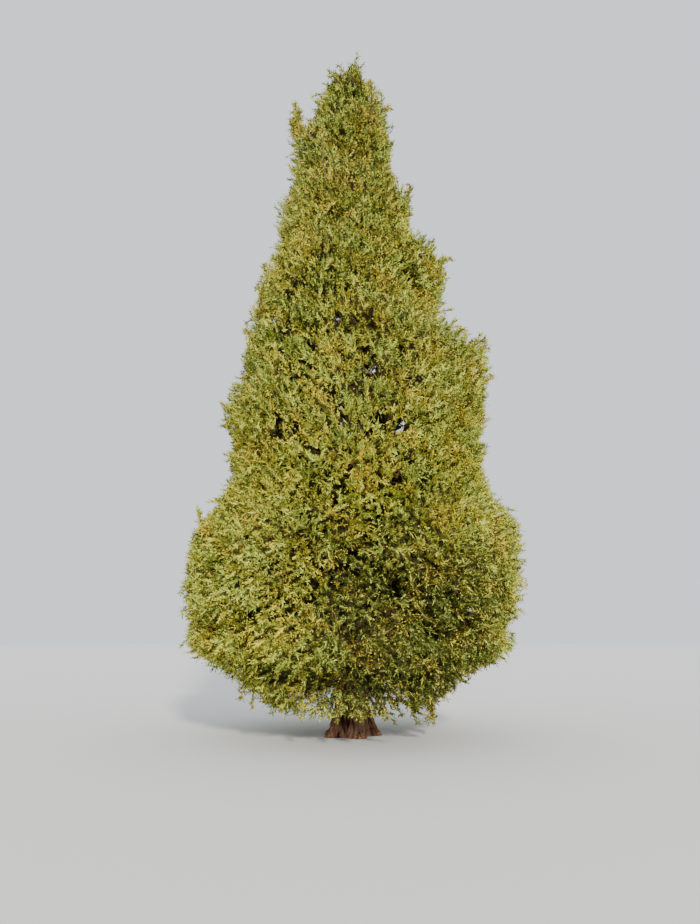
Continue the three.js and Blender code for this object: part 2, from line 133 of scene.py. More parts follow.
# %% Edge of the crown
HEM_HEIGHT, HEM_FLAT, HEM_SLOPE = 0.34, 1.3, 0.72  # the lower edge, level near the trunk
CROWN_EDGE = np.array([  # height, and the reach there to the left, right, front and back
    (0.00, 2.25, 2.25, 2.25, 2.25),
    (1.50, 2.70, 2.66, 2.60, 2.64),
    (2.30, 2.82, 2.88, 2.72, 2.80),
    (3.10, 2.79, 2.95, 2.72, 2.80),
    (3.40, 2.66, 2.88, 2.68, 2.74),
    (3.70, 2.40, 2.50, 2.63, 2.66),
    (4.05, 2.20, 2.42, 2.57, 2.56),
    (4.65, 2.18, 2.36, 2.47, 2.44),
    (5.20, 2.31, 2.46, 2.38, 2.42),
    (5.75, 2.10, 2.52, 2.28, 2.38),
    (6.40, 2.05, 2.53, 2.15, 2.22),
    (6.70, 2.03, 1.92, 2.07, 2.10),
    (7.05, 1.85, 1.66, 1.98, 1.96),
    (7.45, 1.78, 1.72, 1.88, 1.86),
    (7.95, 1.78, 1.84, 1.74, 1.78),
    (8.30, 1.50, 1.84, 1.64, 1.70),
    (8.55, 1.46, 1.40, 1.56, 1.60),
    (8.90, 1.46, 1.12, 1.46, 1.46),
    (9.50, 1.42, 1.16, 1.30, 1.28),
    (10.00, 1.20, 0.84, 1.16, 1.16),
    (11.10, 1.22, 0.80, 0.90, 0.92),
    (11.45, 0.84, 0.80, 0.80, 0.82),
    (11.85, 0.78, 0.66, 0.68, 0.69),
    (12.15, 0.60, 0.45, 0.54, 0.56),
    (12.65, 0.42, 0.29, 0.35, 0.36),
    (HEIGHT, 0.15, 0.19, 0.17, 0.17),
])


def crown_reach(z, east, north):
    """How far the crown reaches at a height, along a level way with these parts east and north."""
    left, right, front, back = (np.interp(z, CROWN_EDGE[:, 0], side) for side in CROWN_EDGE.T[1:])
    across = np.where(east < 0, left, right)
    deep = np.where(north < 0, front, back)
    return np.where(z < HEIGHT, across * east**2 + deep * north**2, 0.0)


def hem_height(distance):
    """How high the crown's lower edge is at a distance from the trunk."""
    return HEM_HEIGHT + HEM_SLOPE * np.maximum(distance - HEM_FLAT, 0)


widest = CROWN_EDGE[(CROWN_EDGE[:, 1] + CROWN_EDGE[:, 2]).argmax()]
print("the crown is", round(widest[1] + widest[2], 2), "broad at a height of", widest[0])

# %% [markdown]
# ## The tiers of masses
# A tier is a ring of masses: how many, how far the ring is turned in degrees, how steeply its
# limbs climb, and the height of the masses' middles. The solids drew small scatters from a
# seeded rule. The same rule is written again here, so that the same draws come out.

# %% Tiers
Tier = namedtuple("Tier", "name count turn climb heart")
TIERS = [
    Tier("hem", 5, 52, -0.3, 1.13),
    Tier("skirt", 6, 4, -0.05, 2.50),
    Tier("broad", 6, 33, 0.3, 3.99),
    Tier("waist", 5, -6, 0.4, 4.95),
    Tier("middle", 4, 24, 0.5, 6.15),
    Tier("shoulder", 4, -20, 0.7, 7.75),
    Tier("high", 3, 8, 0.8, 9.30),
    Tier("crest", 3, 176, 0.9, 10.85),
]
BOUGH_TIERS = 4  # the masses of the lowest tiers hang on boughs, the others on the trunk
TOP_HEART, TOP_REACH = 12.0, 0.52


def seeded_draws(seed):
    """A repeatable source of numbers from 0 to 1, the same as the solids used."""
    state = seed * 2654435761 % 2**32

    def draw():
        nonlocal state
        state = (state * 1664525 + 1013904223) % 2**32
        return state / 2**32

    draw()
    return draw


print(len(TIERS), "tiers and a mass at the top")

# %% [markdown]
# ## The layout of the masses
# Each mass stands where its solid does, with the same root, middle and reach. Those of the
# lower tiers hang on boughs, and the others hang on the trunk.

# %% Layout
BOUGH_SHARE, HEART_SHARE = 0.36, 0.64  # how far out a mass's root and its middle lie
ROOM_AT_BOUGH = 0.07
TURN_SCATTER, REACH_SCATTER, HEART_SCATTER = 5.0, 0.035, 0.17
CLIMB_KEPT = 0.8
FACING_RISE, STEM_TIP_RISE = 0.55, 0.55
LAYOUT_SEED = 7


def tier_mass(tier, tier_index, k, draw):
    """The facts of one mass of a tier, as the solids have them."""
    turn = math.radians(tier.turn + 360 * k / tier.count + (2 * draw() - 1) * TURN_SCATTER)
    outward = np.array([math.cos(turn), math.sin(turn), 0.0])
    scatter = 1 + (2 * draw() - 1) * REACH_SCATTER
    height = tier.heart + (2 * draw() - 1) * HEART_SCATTER
    reach = float(crown_reach(height, *outward[:2])) * scatter
    heart_radius = HEART_SHARE * reach
    on_bough = tier_index < BOUGH_TIERS
    root_radius = BOUGH_SHARE * reach if on_bough else float(trunk_radius(height))
    root_height = height - (heart_radius - root_radius) * tier.climb * CLIMB_KEPT
    return SimpleNamespace(
        tier=tier.name, name=f"{tier.name}_mass_{k + 1}",
        bough=f"{tier.name}_bough_{k + 1}" if on_bough else None,
        outward=outward, reach=reach, scatter=scatter,
        heart=outward * heart_radius + UP * height,
        inner=root_radius + ROOM_AT_BOUGH if on_bough else 0.0,
        facing=unit(outward + UP * FACING_RISE), tip_heading=unit(outward + UP * STEM_TIP_RISE),
        foot=trunk_centre(root_height - root_radius * tier.climb),
        root=outward * root_radius + UP * root_height,
    )


def top_mass():
    """The mass round the trunk's tip."""
    root = trunk_centre(TRUNK_TOP) + UP * GAP
    return SimpleNamespace(
        tier="top", name="top_mass", bough=None, outward=np.array([1.0, 0.0, 0.0]),
        reach=TOP_REACH, scatter=1.0, heart=UP * TOP_HEART, inner=0.0,
        facing=UP, tip_heading=UP, foot=root, root=root,
    )


layout = seeded_draws(LAYOUT_SEED)
masses = [
    tier_mass(tier, i, k, layout) for i, tier in enumerate(TIERS) for k in range(tier.count)
]
masses.append(top_mass())
print(len(masses), "masses")

# %% [markdown]
# ## The space of a mass
# The masses share out the crown between walls halfway to their neighbours, and each bulges a
# little in its middle. Testing thousands of points one by one is slow in Python, so the test
# takes a whole array of points and answers for all of them at once.

# %% Space
UPSWEEP = 0.35  # how much the foliage rises for each metre outwards
SPACE_MARGIN = 0.009
MARCH_STEP = 0.02
MASS_ROUNDING, ROUNDING_POWER = 0.06, 4
FOLIAGE_ROUNDING = 0.015  # the fine sprays fill most of the notch between two masses
INTERLACE = 0.07  # how far the fine sprays of neighbouring masses reach past their shared wall
BOX_ROOM = 0.13  # how far the fine sprays may pass the solids' box
BOX_LOW, BOX_HIGH = np.array(CAD_LOW) - BOX_ROOM, np.array(CAD_HIGH) + BOX_ROOM


def levelled(p):
    """Points in the frame where upswept foliage lies level."""
    flat = p.copy()
    flat[:, 2] -= UPSWEEP * np.hypot(p[:, 0], p[:, 1])
    return flat


def walls_of(mass):
    """The walls towards the other masses: normals, the middle's place along them, and room."""
    here = levelled(mass.heart[None])
    ways = levelled(np.array([other.heart for other in masses if other is not mass])) - here
    normals = unit(ways)
    return normals, normals @ here[0], np.linalg.norm(ways, axis=1) / 2


for mass in masses:
    mass.wall_normals, mass.wall_from, mass.wall_room = walls_of(mass)
print("each mass has walls towards the", len(masses) - 1, "others")


def in_space(mass, p, interlace=-SPACE_MARGIN, rounding=MASS_ROUNDING, beyond=0.0):
    """Which points lie in a mass's share of the crown, clear of trunk, ground and neighbours."""
    z = p[:, 2]
    from_trunk = p - trunk_centre(np.minimum(z, TRUNK_TOP))
    distance = np.hypot(from_trunk[:, 0], from_trunk[:, 1])
    nearest = mass.inner or trunk_radius(z) + 2 * SPACE_MARGIN
    inside = (z >= TRUNK_TOP) | (distance >= nearest)
    inside &= z >= hem_height(distance) + SPACE_MARGIN - beyond
    ways = levelled(p) @ mass.wall_normals.T - mass.wall_from
    inside &= (ways <= mass.wall_room + interlace).all(axis=1)
    crowding = np.clip((ways / mass.wall_room).max(axis=1), 0, 1)
    east, north = (from_trunk[:, :2] / np.maximum(distance, SPACE_MARGIN)[:, None]).T
    edge = crown_reach(z, east, north) * mass.scatter
    return inside & (distance < edge * (1 - rounding * crowding**ROUNDING_POWER) + beyond)


def among_sprays(mass, p, beyond=0.0):
    """Which points lie where a mass's fine sprays may grow, some a little beyond the crown."""
    kept = ((p > BOX_LOW) & (p < BOX_HIGH)).all(axis=1)
    return kept & in_space(mass, p, INTERLACE, FOLIAGE_ROUNDING, beyond)


def way_out(mass, starts, headings):
    """How far straight ways run before they leave a mass's space."""
    ways = np.zeros(len(headings))
    going = np.arange(len(headings))
    while len(going):
        ahead = starts[going] + headings[going] * (ways[going, None] + MARCH_STEP)
        going = going[in_space(mass, ahead)]
        ways[going] += MARCH_STEP
    return ways


# %% [markdown]
# ## Limbs
# A limb is a curve with a round section that thins towards its tip. A few are large and get
# real bark. The thousands of twigs are too many to make one by one, so their curves are worked
# out together as arrays, and each array of curves becomes one joined mesh.

# %% Curves
CORE_SHARE, CORE_SHRINK, SPRAY_ROOT_DEPTH = 0.9, 0.34, 0.15
BOUGH_GIRTH, BOUGH_TIP_SHARE, BOUGH_SAG = 0.027, 0.7, 0.06
COLLAR_GIRTH, COLLAR_FADE = 0.45, 0.22
STEM_LEAD, STEM_UPTURN = 0.42, 0.25


def on_curve(corners, share):
    """Points at some shares along many Bezier curves: corners is (curves, corners, 3)."""
    level = corners[:, None] + 0 * share[..., None, None]
    while level.shape[2] > 1:
        s = share[..., None, None]
        level = level[:, :, :-1] * (1 - s) + level[:, :, 1:] * s
    return level[:, :, 0]


def heading_on_curve(corners, share):
    """Headings at some shares along many Bezier curves."""
    return unit(on_curve(np.diff(corners, axis=1), share))


def bough_corners(mass):
    along = mass.root - mass.foot
    bend = mass.foot + along / 2 - UP * BOUGH_SAG * np.linalg.norm(along)
    return np.array([[mass.foot, bend, mass.root]])


def bough_radius(mass):
    return BOUGH_GIRTH * mass.reach


def stem_corners(mass):
    """The stem's way, from its bough's tip or out of the trunk to the mass's outer side."""
    start, onward = mass.foot, UP
    if mass.bough:
        onward = heading_on_curve(bough_corners(mass), np.ones((1, 1)))[0, 0]
        start = mass.root + onward * GAP
    elif mass.tier != "top":
        onward = unit(mass.root - start)
    share = CORE_SHARE - CORE_SHRINK * mass.tip_heading @ mass.facing - SPRAY_ROOT_DEPTH
    way = way_out(mass, mass.heart[None], mass.tip_heading[None])[0]
    tip = mass.heart + mass.tip_heading * way * share
    before = start + onward * STEM_LEAD * np.linalg.norm(tip - start)
    return np.array([[start, before, tip - UP * STEM_UPTURN, tip]])


for mass in masses:
    mass.stem = stem_corners(mass)
print("longest stem", round(max(np.linalg.norm(m.stem[0, -1] - m.stem[0, 0]) for m in masses), 2))

# %% [markdown]
# ## The places where foliage ends
# Seen from outside, the crown is one closed coat of branchlet ends that bulges in clumps. Ends
# could be thrown at random, but that leaves bald and crowded spots, so they follow a golden
# spiral that spaces them evenly over the crown. Three deeper coats, each with fewer and larger
# sprays, close the view between the clumps, and the last coat hangs under the hem. Each end
# belongs to the mass it is in.

# %% Coats of ends
GOLDEN_TURN, GOLDEN_SHARE = math.radians(137.5), 0.618
Coat = namedtuple("Coat", "name ends depth spacing sprays growth")
COATS = [  # depth is a share of the crown's reach, and spacing is from clump to clump
    Coat("outer", 9600, 0.0, 0.38, 13, 0.97),
    Coat("middle", 2200, 0.14, 0.6, 8, 1.7),
    # The inner and lining coats lie far in, where their large sprays take dark tints as painted
    # shade.
    Coat("inner", 2200, 0.3, 0.8, 8, 2.2),
    Coat("lining", 1500, 0.52, 1.0, 6, 2.9),
    Coat("hem", 900, 0.0, 0.42, 13, 0.97),
]
EDGE_SHARES = (0.99, 0.965, 0.94, 0.91)  # where an end is tried, of the way to the crown's edge
HEM_INNER, HEM_OUTER = 0.75, 2.7
HEM_DROOP = 0.9
SWEEP_HEIGHTS, END_SWEEPS = (2.0, 4.8), (-0.45, 0.55)
COAT_BOTTOM, COAT_TOP, COAT_LEVELS = HEM_HEIGHT + 0.3, HEIGHT - 0.12, 2000
TIP_REACH = 0.03  # added to the reach, so that the slim tip gets its share of ends
print(sum(coat.ends for coat in COATS), "ends in", len(COATS), "coats")


def outward_of(around):
    return np.stack([np.cos(around), np.sin(around), 0 * around], -1)


def sweep_at(z):
    """How steeply branchlets end at a height: low ones droop, high ones rise."""
    return np.interp(z, SWEEP_HEIGHTS, END_SWEEPS)


def coat_on_crown(coat):
    """Evenly spread points on the crown's edge, or deeper in, and the ways out to them."""
    z = np.linspace(COAT_BOTTOM, COAT_TOP, COAT_LEVELS)
    reach = crown_reach(z, 0.0, -1.0)
    area = np.cumsum((reach + TIP_REACH) * np.sqrt(1 + np.gradient(reach, z) ** 2))
    share = (np.arange(coat.ends) + 0.5) / coat.ends
    height = np.interp(share, area / area[-1], z)
    outward = outward_of(np.arange(coat.ends) * GOLDEN_TURN)
    reach = crown_reach(height, *outward[:, :2].T) * (1 - coat.depth)
    edges = trunk_centre(np.minimum(height, TRUNK_TOP)) * [1, 1, 0] + outward * reach[:, None]
    edges[:, 2] = height
    return edges, unit(outward + UP * sweep_at(height)[:, None]), outward


def coat_under_hem(coat):
    """Evenly spread points along the crown's lower edge, and the ways down and out to it."""
    share = (np.arange(coat.ends) + 0.5) / coat.ends
    distance = np.sqrt(HEM_INNER**2 + share * (HEM_OUTER**2 - HEM_INNER**2))
    outward = outward_of(np.arange(coat.ends) * GOLDEN_TURN)
    edges = outward * distance[:, None]
    edges[:, 2] = hem_height(distance) + 3 * SPACE_MARGIN
    return edges, unit(outward - UP * HEM_DROOP), outward


def edges_in(mass, edges, outward):
    """Which ends one mass owns, each drawn in towards the trunk until it fits the mass's space."""
    owned = np.zeros(len(edges), bool)
    for share in EDGE_SHARES:
        drawn_in = edges - outward * (1 - share) * np.hypot(edges[:, 0], edges[:, 1])[:, None]
        fits = in_space(mass, drawn_in, 0.0, FOLIAGE_ROUNDING) & ~owned
        edges = np.where(fits[:, None], drawn_in, edges)
        owned |= fits
    return owned, edges


# %% [markdown]
# ## Clumps
# On the real tree each side branch ends in a rounded clump: a fan of branchlets, all crowded
# with flat sprays, with a dark gap beside it. The middles of the clumps are picked from the
# ends so that they keep their distance, and every end joins the nearest one. An end stays back
# the more, the further it is from its clump's middle, so the clump bulges. Some clumps lead and
# stand a little out of the crown's even edge.

# %% Clumps
TUFT_OUT = 0.15  # how far the leading tufts stand out beyond the crown's even edge
SMALL_REACH, SMALL_SPACING = 2.2, 0.5  # clumps stand closer where the crown is slimmer
CLUMP_DOME = 0.06  # how far an end that is a whole spacing off its clump's middle stays back
DOME_POWER = 2.0
CLUMP_SCATTER, CLUMP_SCATTER_POWER = 0.2, 5  # few clumps stay far back, most hardly do
END_SCATTER = 0.11
LEADING_CLUMPS, TUFT_WIDTH = 0.45, 0.6  # the share that leads, and how wide its tuft is
TWIG_SHORT_OF_END = 0.34
SPRAY_LENGTH = 0.115
TIP_OVERHANG = 0.4  # of a spray's length: ends stay this far back, as sprays grow past them


def clump_middles(places, spacing, rng):
    """Some of the places, picked so that they keep their distance from each other."""
    chosen = []
    for i in rng.permutation(len(places)):
        if not chosen or np.linalg.norm(places[chosen] - places[i], axis=1).min() > spacing:
            chosen.append(i)
    return np.array(chosen)


def clumps_of(mass, coat, edges, headings, rng):
    """One coat's clumps in one mass: their middles, and each branchlet's end and clump."""
    size = min(mass.reach / SMALL_REACH, 1)
    spacing = coat.spacing * (SMALL_SPACING + (1 - SMALL_SPACING) * size)
    middles = clump_middles(edges, spacing, rng)
    offs = np.linalg.norm(edges[:, None] - edges[None, middles], axis=2)
    clump = offs.argmin(axis=1)
    off = offs.min(axis=1) / spacing
    held_back = CLUMP_SCATTER * rng.random(len(middles))[clump] ** CLUMP_SCATTER_POWER
    held_back += CLUMP_DOME * off**DOME_POWER
    held_back += END_SCATTER * rng.random(len(edges)) ** 2 + TIP_OVERHANG * SPRAY_LENGTH
    leading = (rng.random(len(middles)) < LEADING_CLUMPS) & (coat.depth == 0)
    tuft = TUFT_OUT * leading[clump] * np.clip(1 - off / TUFT_WIDTH, 0, 1)
    ends = edges - headings * (held_back - tuft)[:, None]
    ends = np.where(among_sprays(mass, ends, tuft)[:, None], ends, edges)
    return SimpleNamespace(
        ends=ends, clump=clump, off=off, tuft=tuft, headings=headings,
        middles=edges[middles] - headings[middles] * TWIG_SHORT_OF_END,
    )


# %% [markdown]
# ## Twigs and branchlets
# One twig runs from the mass's stem to each clump: first along with the stem, then over to the
# clump's middle. Its branchlets leave it along the way, each to its own end.

# %% Twigs and branchlets
TWIG_LEAD, TWIG_BACK = 0.45, 0.25
TWIG_ZONE = (0.2, 0.9)  # where twigs leave the stem, as shares of its length
BRANCHLET_ZONE = (0.35, 0.98)  # where branchlets leave the twig
BRANCHLET_LEAD = 0.5
LEAST_ONWARD = 0.15  # the least that a twig runs on with its stem before it bends
HEADING_SCATTER = 0.48


def grow_twigs(mass, ends):
    """The twigs of one mass, one to the middle of each clump."""
    first, last = mass.stem[0, 0], mass.stem[0, -1]
    line = last - first
    level = (ends - first) @ line / (line @ line)
    share = np.clip(level - TWIG_BACK, *TWIG_ZONE)
    starts = on_curve(mass.stem, share[None])[0]
    leads = heading_on_curve(mass.stem, share[None])[0]
    length = np.linalg.norm(ends - starts, axis=1, keepdims=True)
    onward = np.clip(np.sum(leads * unit(ends - starts), axis=1, keepdims=True), LEAST_ONWARD, 1)
    bends = starts + leads * TWIG_LEAD * length * onward
    return np.stack([starts, bends, ends], axis=1)


def grow_branchlets(twigs, clumps, rng):
    """The branchlets of one mass, from their clump's twig to their ends."""
    own_twig = twigs[clumps.clump]
    zone = rng.uniform(*BRANCHLET_ZONE, (len(own_twig), 1))
    starts = on_curve(own_twig, zone)[:, 0]
    length = np.linalg.norm(clumps.ends - starts, axis=1, keepdims=True)
    outward = unit(clumps.headings + rng.normal(0, HEADING_SCATTER, starts.shape))
    return np.stack([starts, clumps.ends - outward * BRANCHLET_LEAD * length, clumps.ends], axis=1)


# %% [markdown]
# ## Sprays along a branchlet
# Sprays leave a branchlet to its left and its right in turn, like the barbs of a feather, and
# less steeply towards its tip. Every branchlet is rolled about itself by chance, so its flat
# sprays catch the light in their own way. The rule fills whole arrays of branchlets at once.

# %% Sprays along a branchlet
SPRAY_SIZES = (0.75, 1.2)  # the smallest and the largest, as shares of their length
SPRAYS_FROM = 0.5  # where the sprays begin along a branchlet
SPRAYS_ON_TWIG, TWIG_SPRAYS_FROM, TWIG_SPRAY_GROWTH = 6, 0.35, 2.0
STEP_SCATTER, ROLL_SCATTER, SPRAY_SCATTER, SPRAY_TWIST = 0.3, 0.9, 0.5, 1.0
SPRAY_OPENING = (1.05, 0.45)  # radians from the branchlet, at its root and at its tip
LAST_OPENING = 0.2  # the last spray nearly carries the branchlet on
SPRAY_LIFT, LIFT_FROM = 0.25, 0.7  # how far sprays turn up, and the droop from which none do


def grow_sprays(limbs, count, first, growth, rng):
    """The sprays along some limbs: roots, headings, widths' directions and lengths."""
    scatter = rng.uniform(-STEP_SCATTER, STEP_SCATTER, (len(limbs), count))
    step = (np.arange(count) + scatter) / (count - 1)
    share = np.clip(first + (1 - first) * step, 0, 1)
    roots = on_curve(limbs, share)
    along = heading_on_curve(limbs, share)
    roll = rng.uniform(0, 2 * math.pi, (len(limbs), 1))
    roll = roll + rng.uniform(-ROLL_SCATTER, ROLL_SCATTER, share.shape)
    side = unit(np.cross(along, UP + 1e-3))
    over = np.cross(side, along)
    flat = np.cos(roll)[..., None] * side + np.sin(roll)[..., None] * over
    sign = np.where(np.arange(count) % 2, 1, -1)
    opening = SPRAY_OPENING[0] + (SPRAY_OPENING[1] - SPRAY_OPENING[0]) * share
    aside = sign * opening + rng.uniform(-SPRAY_SCATTER, SPRAY_SCATTER, share.shape)
    aside[:, -1] *= LAST_OPENING
    ahead = np.cos(aside)[..., None] * along + np.sin(aside)[..., None] * flat
    lift = SPRAY_LIFT * np.clip(LIFT_FROM + along[..., 2:], 0, 1)
    ahead = unit(ahead + UP * lift)
    twist = rng.uniform(-SPRAY_TWIST, SPRAY_TWIST, share.shape)[..., None]
    across = unit(np.cross(ahead, np.cross(flat, along) + twist * flat))
    length = growth * SPRAY_LENGTH * rng.uniform(*SPRAY_SIZES, share.shape)
    return SimpleNamespace(
        root=roots.reshape(-1, 3), ahead=ahead.reshape(-1, 3),
        across=across.reshape(-1, 3), length=length.reshape(-1), share=share.reshape(-1),
        limb=np.repeat(np.arange(len(limbs)), count),
    )


def picked(sprays, keep):
    """The sprays that a mask or an index keeps."""
    return SimpleNamespace(**{name: values[keep] for name, values in vars(sprays).items()})


def together(first, second):
    """Two sets of sprays as one."""
    both = {name: np.concatenate([vars(first)[name], vars(second)[name]]) for name in vars(first)}
    return SimpleNamespace(**both)


# %% [markdown]
# ## Room for the sprays
# Foliage turns away from what shades it. Here a spray that would cross the wall to its neighbour
# or leave the crown turns towards the light, is then shortened step by step until it fits, and
# is left out only when it would become too short.

# %% Room for the sprays
SPRAY_WING = 0.35  # half a spray's width, as a share of its length
SPRAY_SHORTEST = 0.05
SPRAY_TRIMS, SPRAY_TRIM = 4, 0.84
TURN_TO_LIGHT = 1.6
DEEP_OFF_HEM = 0.3  # the large sprays of the depth end this far above the lower edge


def fits_space(mass, sprays):
    """Which sprays have their tips and both sides in their mass's space."""
    tips = sprays.root + sprays.ahead * sprays.length[:, None]
    middle = sprays.root + sprays.ahead * (0.5 * sprays.length)[:, None]
    wing = sprays.across * (SPRAY_WING * sprays.length)[:, None]
    places = (tips, middle + wing, middle - wing)
    above_hem = tips[:, 2] - hem_height(np.hypot(tips[:, 0], tips[:, 1]))
    covered = ~sprays.deep | (above_hem > DEEP_OFF_HEM)
    return covered & np.all([among_sprays(mass, p, sprays.beyond) for p in places], axis=0)


def turned_out(mass, sprays):
    """Sprays that would cross their mass's walls turn towards the light instead."""
    outward = sprays.root * [1, 1, 0]
    lit = unit(outward + UP * (0.01 + UPSWEEP * np.linalg.norm(outward, axis=1, keepdims=True)))
    turned = unit(sprays.ahead + TURN_TO_LIGHT * lit)
    sprays.ahead = np.where(fits_space(mass, sprays)[:, None], sprays.ahead, turned)
    sprays.across = unit(np.cross(sprays.ahead, np.cross(sprays.across, sprays.ahead)))
    return sprays


def trimmed(mass, sprays):
    """Sprays shortened until they fit their mass's space, without those that never do."""
    for _ in range(SPRAY_TRIMS):
        too_long = ~fits_space(mass, sprays)
        sprays.length = np.where(too_long, sprays.length * SPRAY_TRIM, sprays.length)
    return picked(sprays, fits_space(mass, sprays) & (sprays.length > SPRAY_SHORTEST))


# %% [markdown]
# ## Gaps in the foliage
# The sky glints through the real tree in a few places, and in others the eye ends in the shade
# at the trunk. Such a gap could be cut with a tool, but a cut looks clean and round, so the
# sprays on its line of sight are left out instead, by chance towards its edge.

# %% Gaps in the foliage
# Sight lines that the real tree leaves open, as pixels of the photograph and a radius. The sky
# shows through the first kind, and the second kind ends in the shade at the trunk.
SKY_GLIMPSES = [
    (311, 344, 7), (313, 367, 4), (340, 407, 6), (343, 418, 7), (294, 427, 7), (398, 428, 8),
    (405, 424, 6), (344, 484, 7), (352, 465, 5), (335, 318, 6), (370, 325, 5), (273, 320, 5),
    (294, 377, 4), (376, 371, 4), (366, 347, 4), (413, 386, 4),
    (309, 107, 6), (310, 116, 5), (345, 76, 6), (342, 67, 7), (340, 57, 8), (371, 74, 6),
    (347, 70, 5), (348, 80, 4), (363, 68, 6), (364, 77, 4), (370, 100, 4), (355, 60, 6),
]
DARK_PITS = [
    (354, 386, 9), (381, 419, 8), (332, 391, 7), (373, 370, 8), (365, 348, 6), (300, 172, 6),
    (352, 176, 5), (420, 378, 6), (288, 332, 6), (278, 418, 6), (277, 434, 7), (410, 458, 6),
    (395, 478, 6), (395, 590, 9),
]
GLIMPSE_FRAY = 0.35
FRONT = -0.3  # the second kind clears only what lies in front of this
print(len(SKY_GLIMPSES), "glimpses of the sky and", len(DARK_PITS), "dark pits")


def seen_at(points):
    """Where the photograph shows some points, in its pixels."""
    x, y, z = (points - [0.0, -CAMERA_DISTANCE, EYE_HEIGHT]).T
    ahead = y * math.cos(CAMERA_PITCH) + z * math.sin(CAMERA_PITCH)
    above = z * math.cos(CAMERA_PITCH) - y * math.sin(CAMERA_PITCH)
    across = SIGHT_CENTRE_X + FOCAL_PIXELS * x / ahead
    return np.stack([across, PHOTO_HEIGHT / 2 - FOCAL_PIXELS * above / ahead], -1)


def in_spots(places, spots, rng):
    """Which places in the photograph lie in one of some round spots with frayed edges."""
    inside = np.zeros(len(places), bool)
    for x, y, radius in spots:
        near = np.hypot(places[:, 0] - x, places[:, 1] - y) / radius
        inside |= near < 1 + GLIMPSE_FRAY * rng.standard_normal(len(places))
    return inside


def in_glimpse(points, rng):
    """Which points lie on a sight line that the real tree leaves open."""
    places = seen_at(points)
    before_sky = in_spots(places, SKY_GLIMPSES, rng)
    return before_sky | in_spots(places, DARK_PITS, rng) & (points[:, 1] < FRONT)


# %% [markdown]
# ## Single shoots
# The outline of the real tree isn't even: single shoots stand out of it, and the leader ends
# in a thin wisp. A noise on the crown's edge would blur it, so each shoot is given by itself:
# where it ends, how much of its end is leafy, how far its branchlets spread, and the share of
# its sprays that it keeps.

# %% Shoots of the outline
Shoot = namedtuple("Shoot", "tip length width leafy", defaults=[1.0])
SHOOTS = [
    Shoot((0.13, -0.05, 13.05), 0.55, 0.06, 0.4),
    Shoot((-0.29, 0.03, 12.86), 0.45, 0.05, 0.3),
    Shoot((-0.18, -0.05, 12.66), 0.35, 0.06, 0.4),
    Shoot((0.27, 0.05, 12.93), 0.40, 0.05, 0.3),
    Shoot((-0.45, -0.05, 12.56), 0.45, 0.10),
    Shoot((0.47, 0.0, 12.30), 0.40, 0.08),
    Shoot((-0.70, 0.1, 12.01), 0.40, 0.09),
    Shoot((-1.14, 0.0, 11.91), 0.60, 0.14),
    Shoot((-1.10, 0.0, 11.85), 0.60, 0.15),
    Shoot((-1.02, 0.1, 11.80), 0.50, 0.15),
    Shoot((-1.16, 0.12, 11.66), 0.50, 0.15),
    Shoot((-1.02, -0.12, 11.62), 0.50, 0.14),
    Shoot((-1.20, -0.05, 11.42), 0.45, 0.14),
    Shoot((0.78, -0.1, 11.70), 0.40, 0.09),
    Shoot((0.85, 0.1, 11.05), 0.40, 0.09),
    Shoot((1.15, 0.0, 10.04), 0.45, 0.14),
    Shoot((1.08, 0.15, 9.86), 0.45, 0.15),
    Shoot((-1.66, 0.1, 8.38), 0.45, 0.14),
    Shoot((-1.78, 0.0, 7.84), 0.45, 0.13),
    Shoot((1.87, -0.1, 8.38), 0.45, 0.10),
    Shoot((-1.97, 0.1, 7.19), 0.45, 0.14),
    Shoot((-1.95, 0.0, 6.99), 0.45, 0.10),
    Shoot((2.36, 0.1, 6.90), 0.50, 0.16),
    Shoot((2.44, -0.1, 6.79), 0.50, 0.17),
    Shoot((2.50, 0.1, 6.76), 0.45, 0.15),
    Shoot((2.48, -0.15, 6.58), 0.45, 0.14),
    Shoot((2.45, 0.2, 6.52), 0.45, 0.14),
    Shoot((2.51, -0.2, 6.02), 0.45, 0.10),
    Shoot((-2.31, 0.0, 5.55), 0.45, 0.11),
    Shoot((-2.24, -0.2, 5.08), 0.45, 0.10),
    Shoot((-2.64, 0.0, 3.64), 0.50, 0.12),
    Shoot((2.90, 0.0, 3.35), 0.45, 0.11),
]
print(len(SHOOTS), "shoots stand out of the outline")

# %% [markdown]
# ## Shoots all round
# The photograph shows the outline of two sides alone. So that the others aren't smoother, more
# shoots stand out of the front and the back, and some hang from the lower edge all round.

# %% Shoots all round
STRAY_SHOOTS, STRAY_OUT, STRAY_FAN = 20, 0.11, math.radians(110)
STRAY_BOTTOM, STRAY_SPAN, STRAY_RISE = 5.2, 6.6, 0.3
STRAY_LEAFY, STRAY_WIDTH = 0.5, 0.13
HANGING_SHOOTS, HANG, HANG_INNER, HANG_SPAN = 16, 0.14, 1.3, 1.0
HANGING_LEAFY, HANGING_WIDTH = 0.55, 0.15


def stray_shoot(k):
    around = (k * GOLDEN_SHARE % 1 - 0.5) * STRAY_FAN
    z = STRAY_BOTTOM + STRAY_SPAN * (k + 0.5) / STRAY_SHOOTS
    east, north = math.sin(around), math.cos(around) * (-1) ** k
    distance = float(crown_reach(z, east, north)) + STRAY_OUT
    tip = (distance * east, distance * north, z + UPSWEEP * STRAY_RISE)
    return Shoot(tip, STRAY_LEAFY, STRAY_WIDTH)


def hanging_shoot(k):
    around, distance = k * GOLDEN_TURN, HANG_INNER + HANG_SPAN * (k * GOLDEN_SHARE % 1)
    east, north = math.cos(around), math.sin(around)
    tip = (distance * east, distance * north, float(hem_height(distance)) - HANG)
    return Shoot(tip, HANGING_LEAFY, HANGING_WIDTH)


SHOOTS += [stray_shoot(k) for k in range(STRAY_SHOOTS)]
SHOOTS += [hanging_shoot(k) for k in range(HANGING_SHOOTS)]
print(len(SHOOTS), "shoots stand out of the crown")

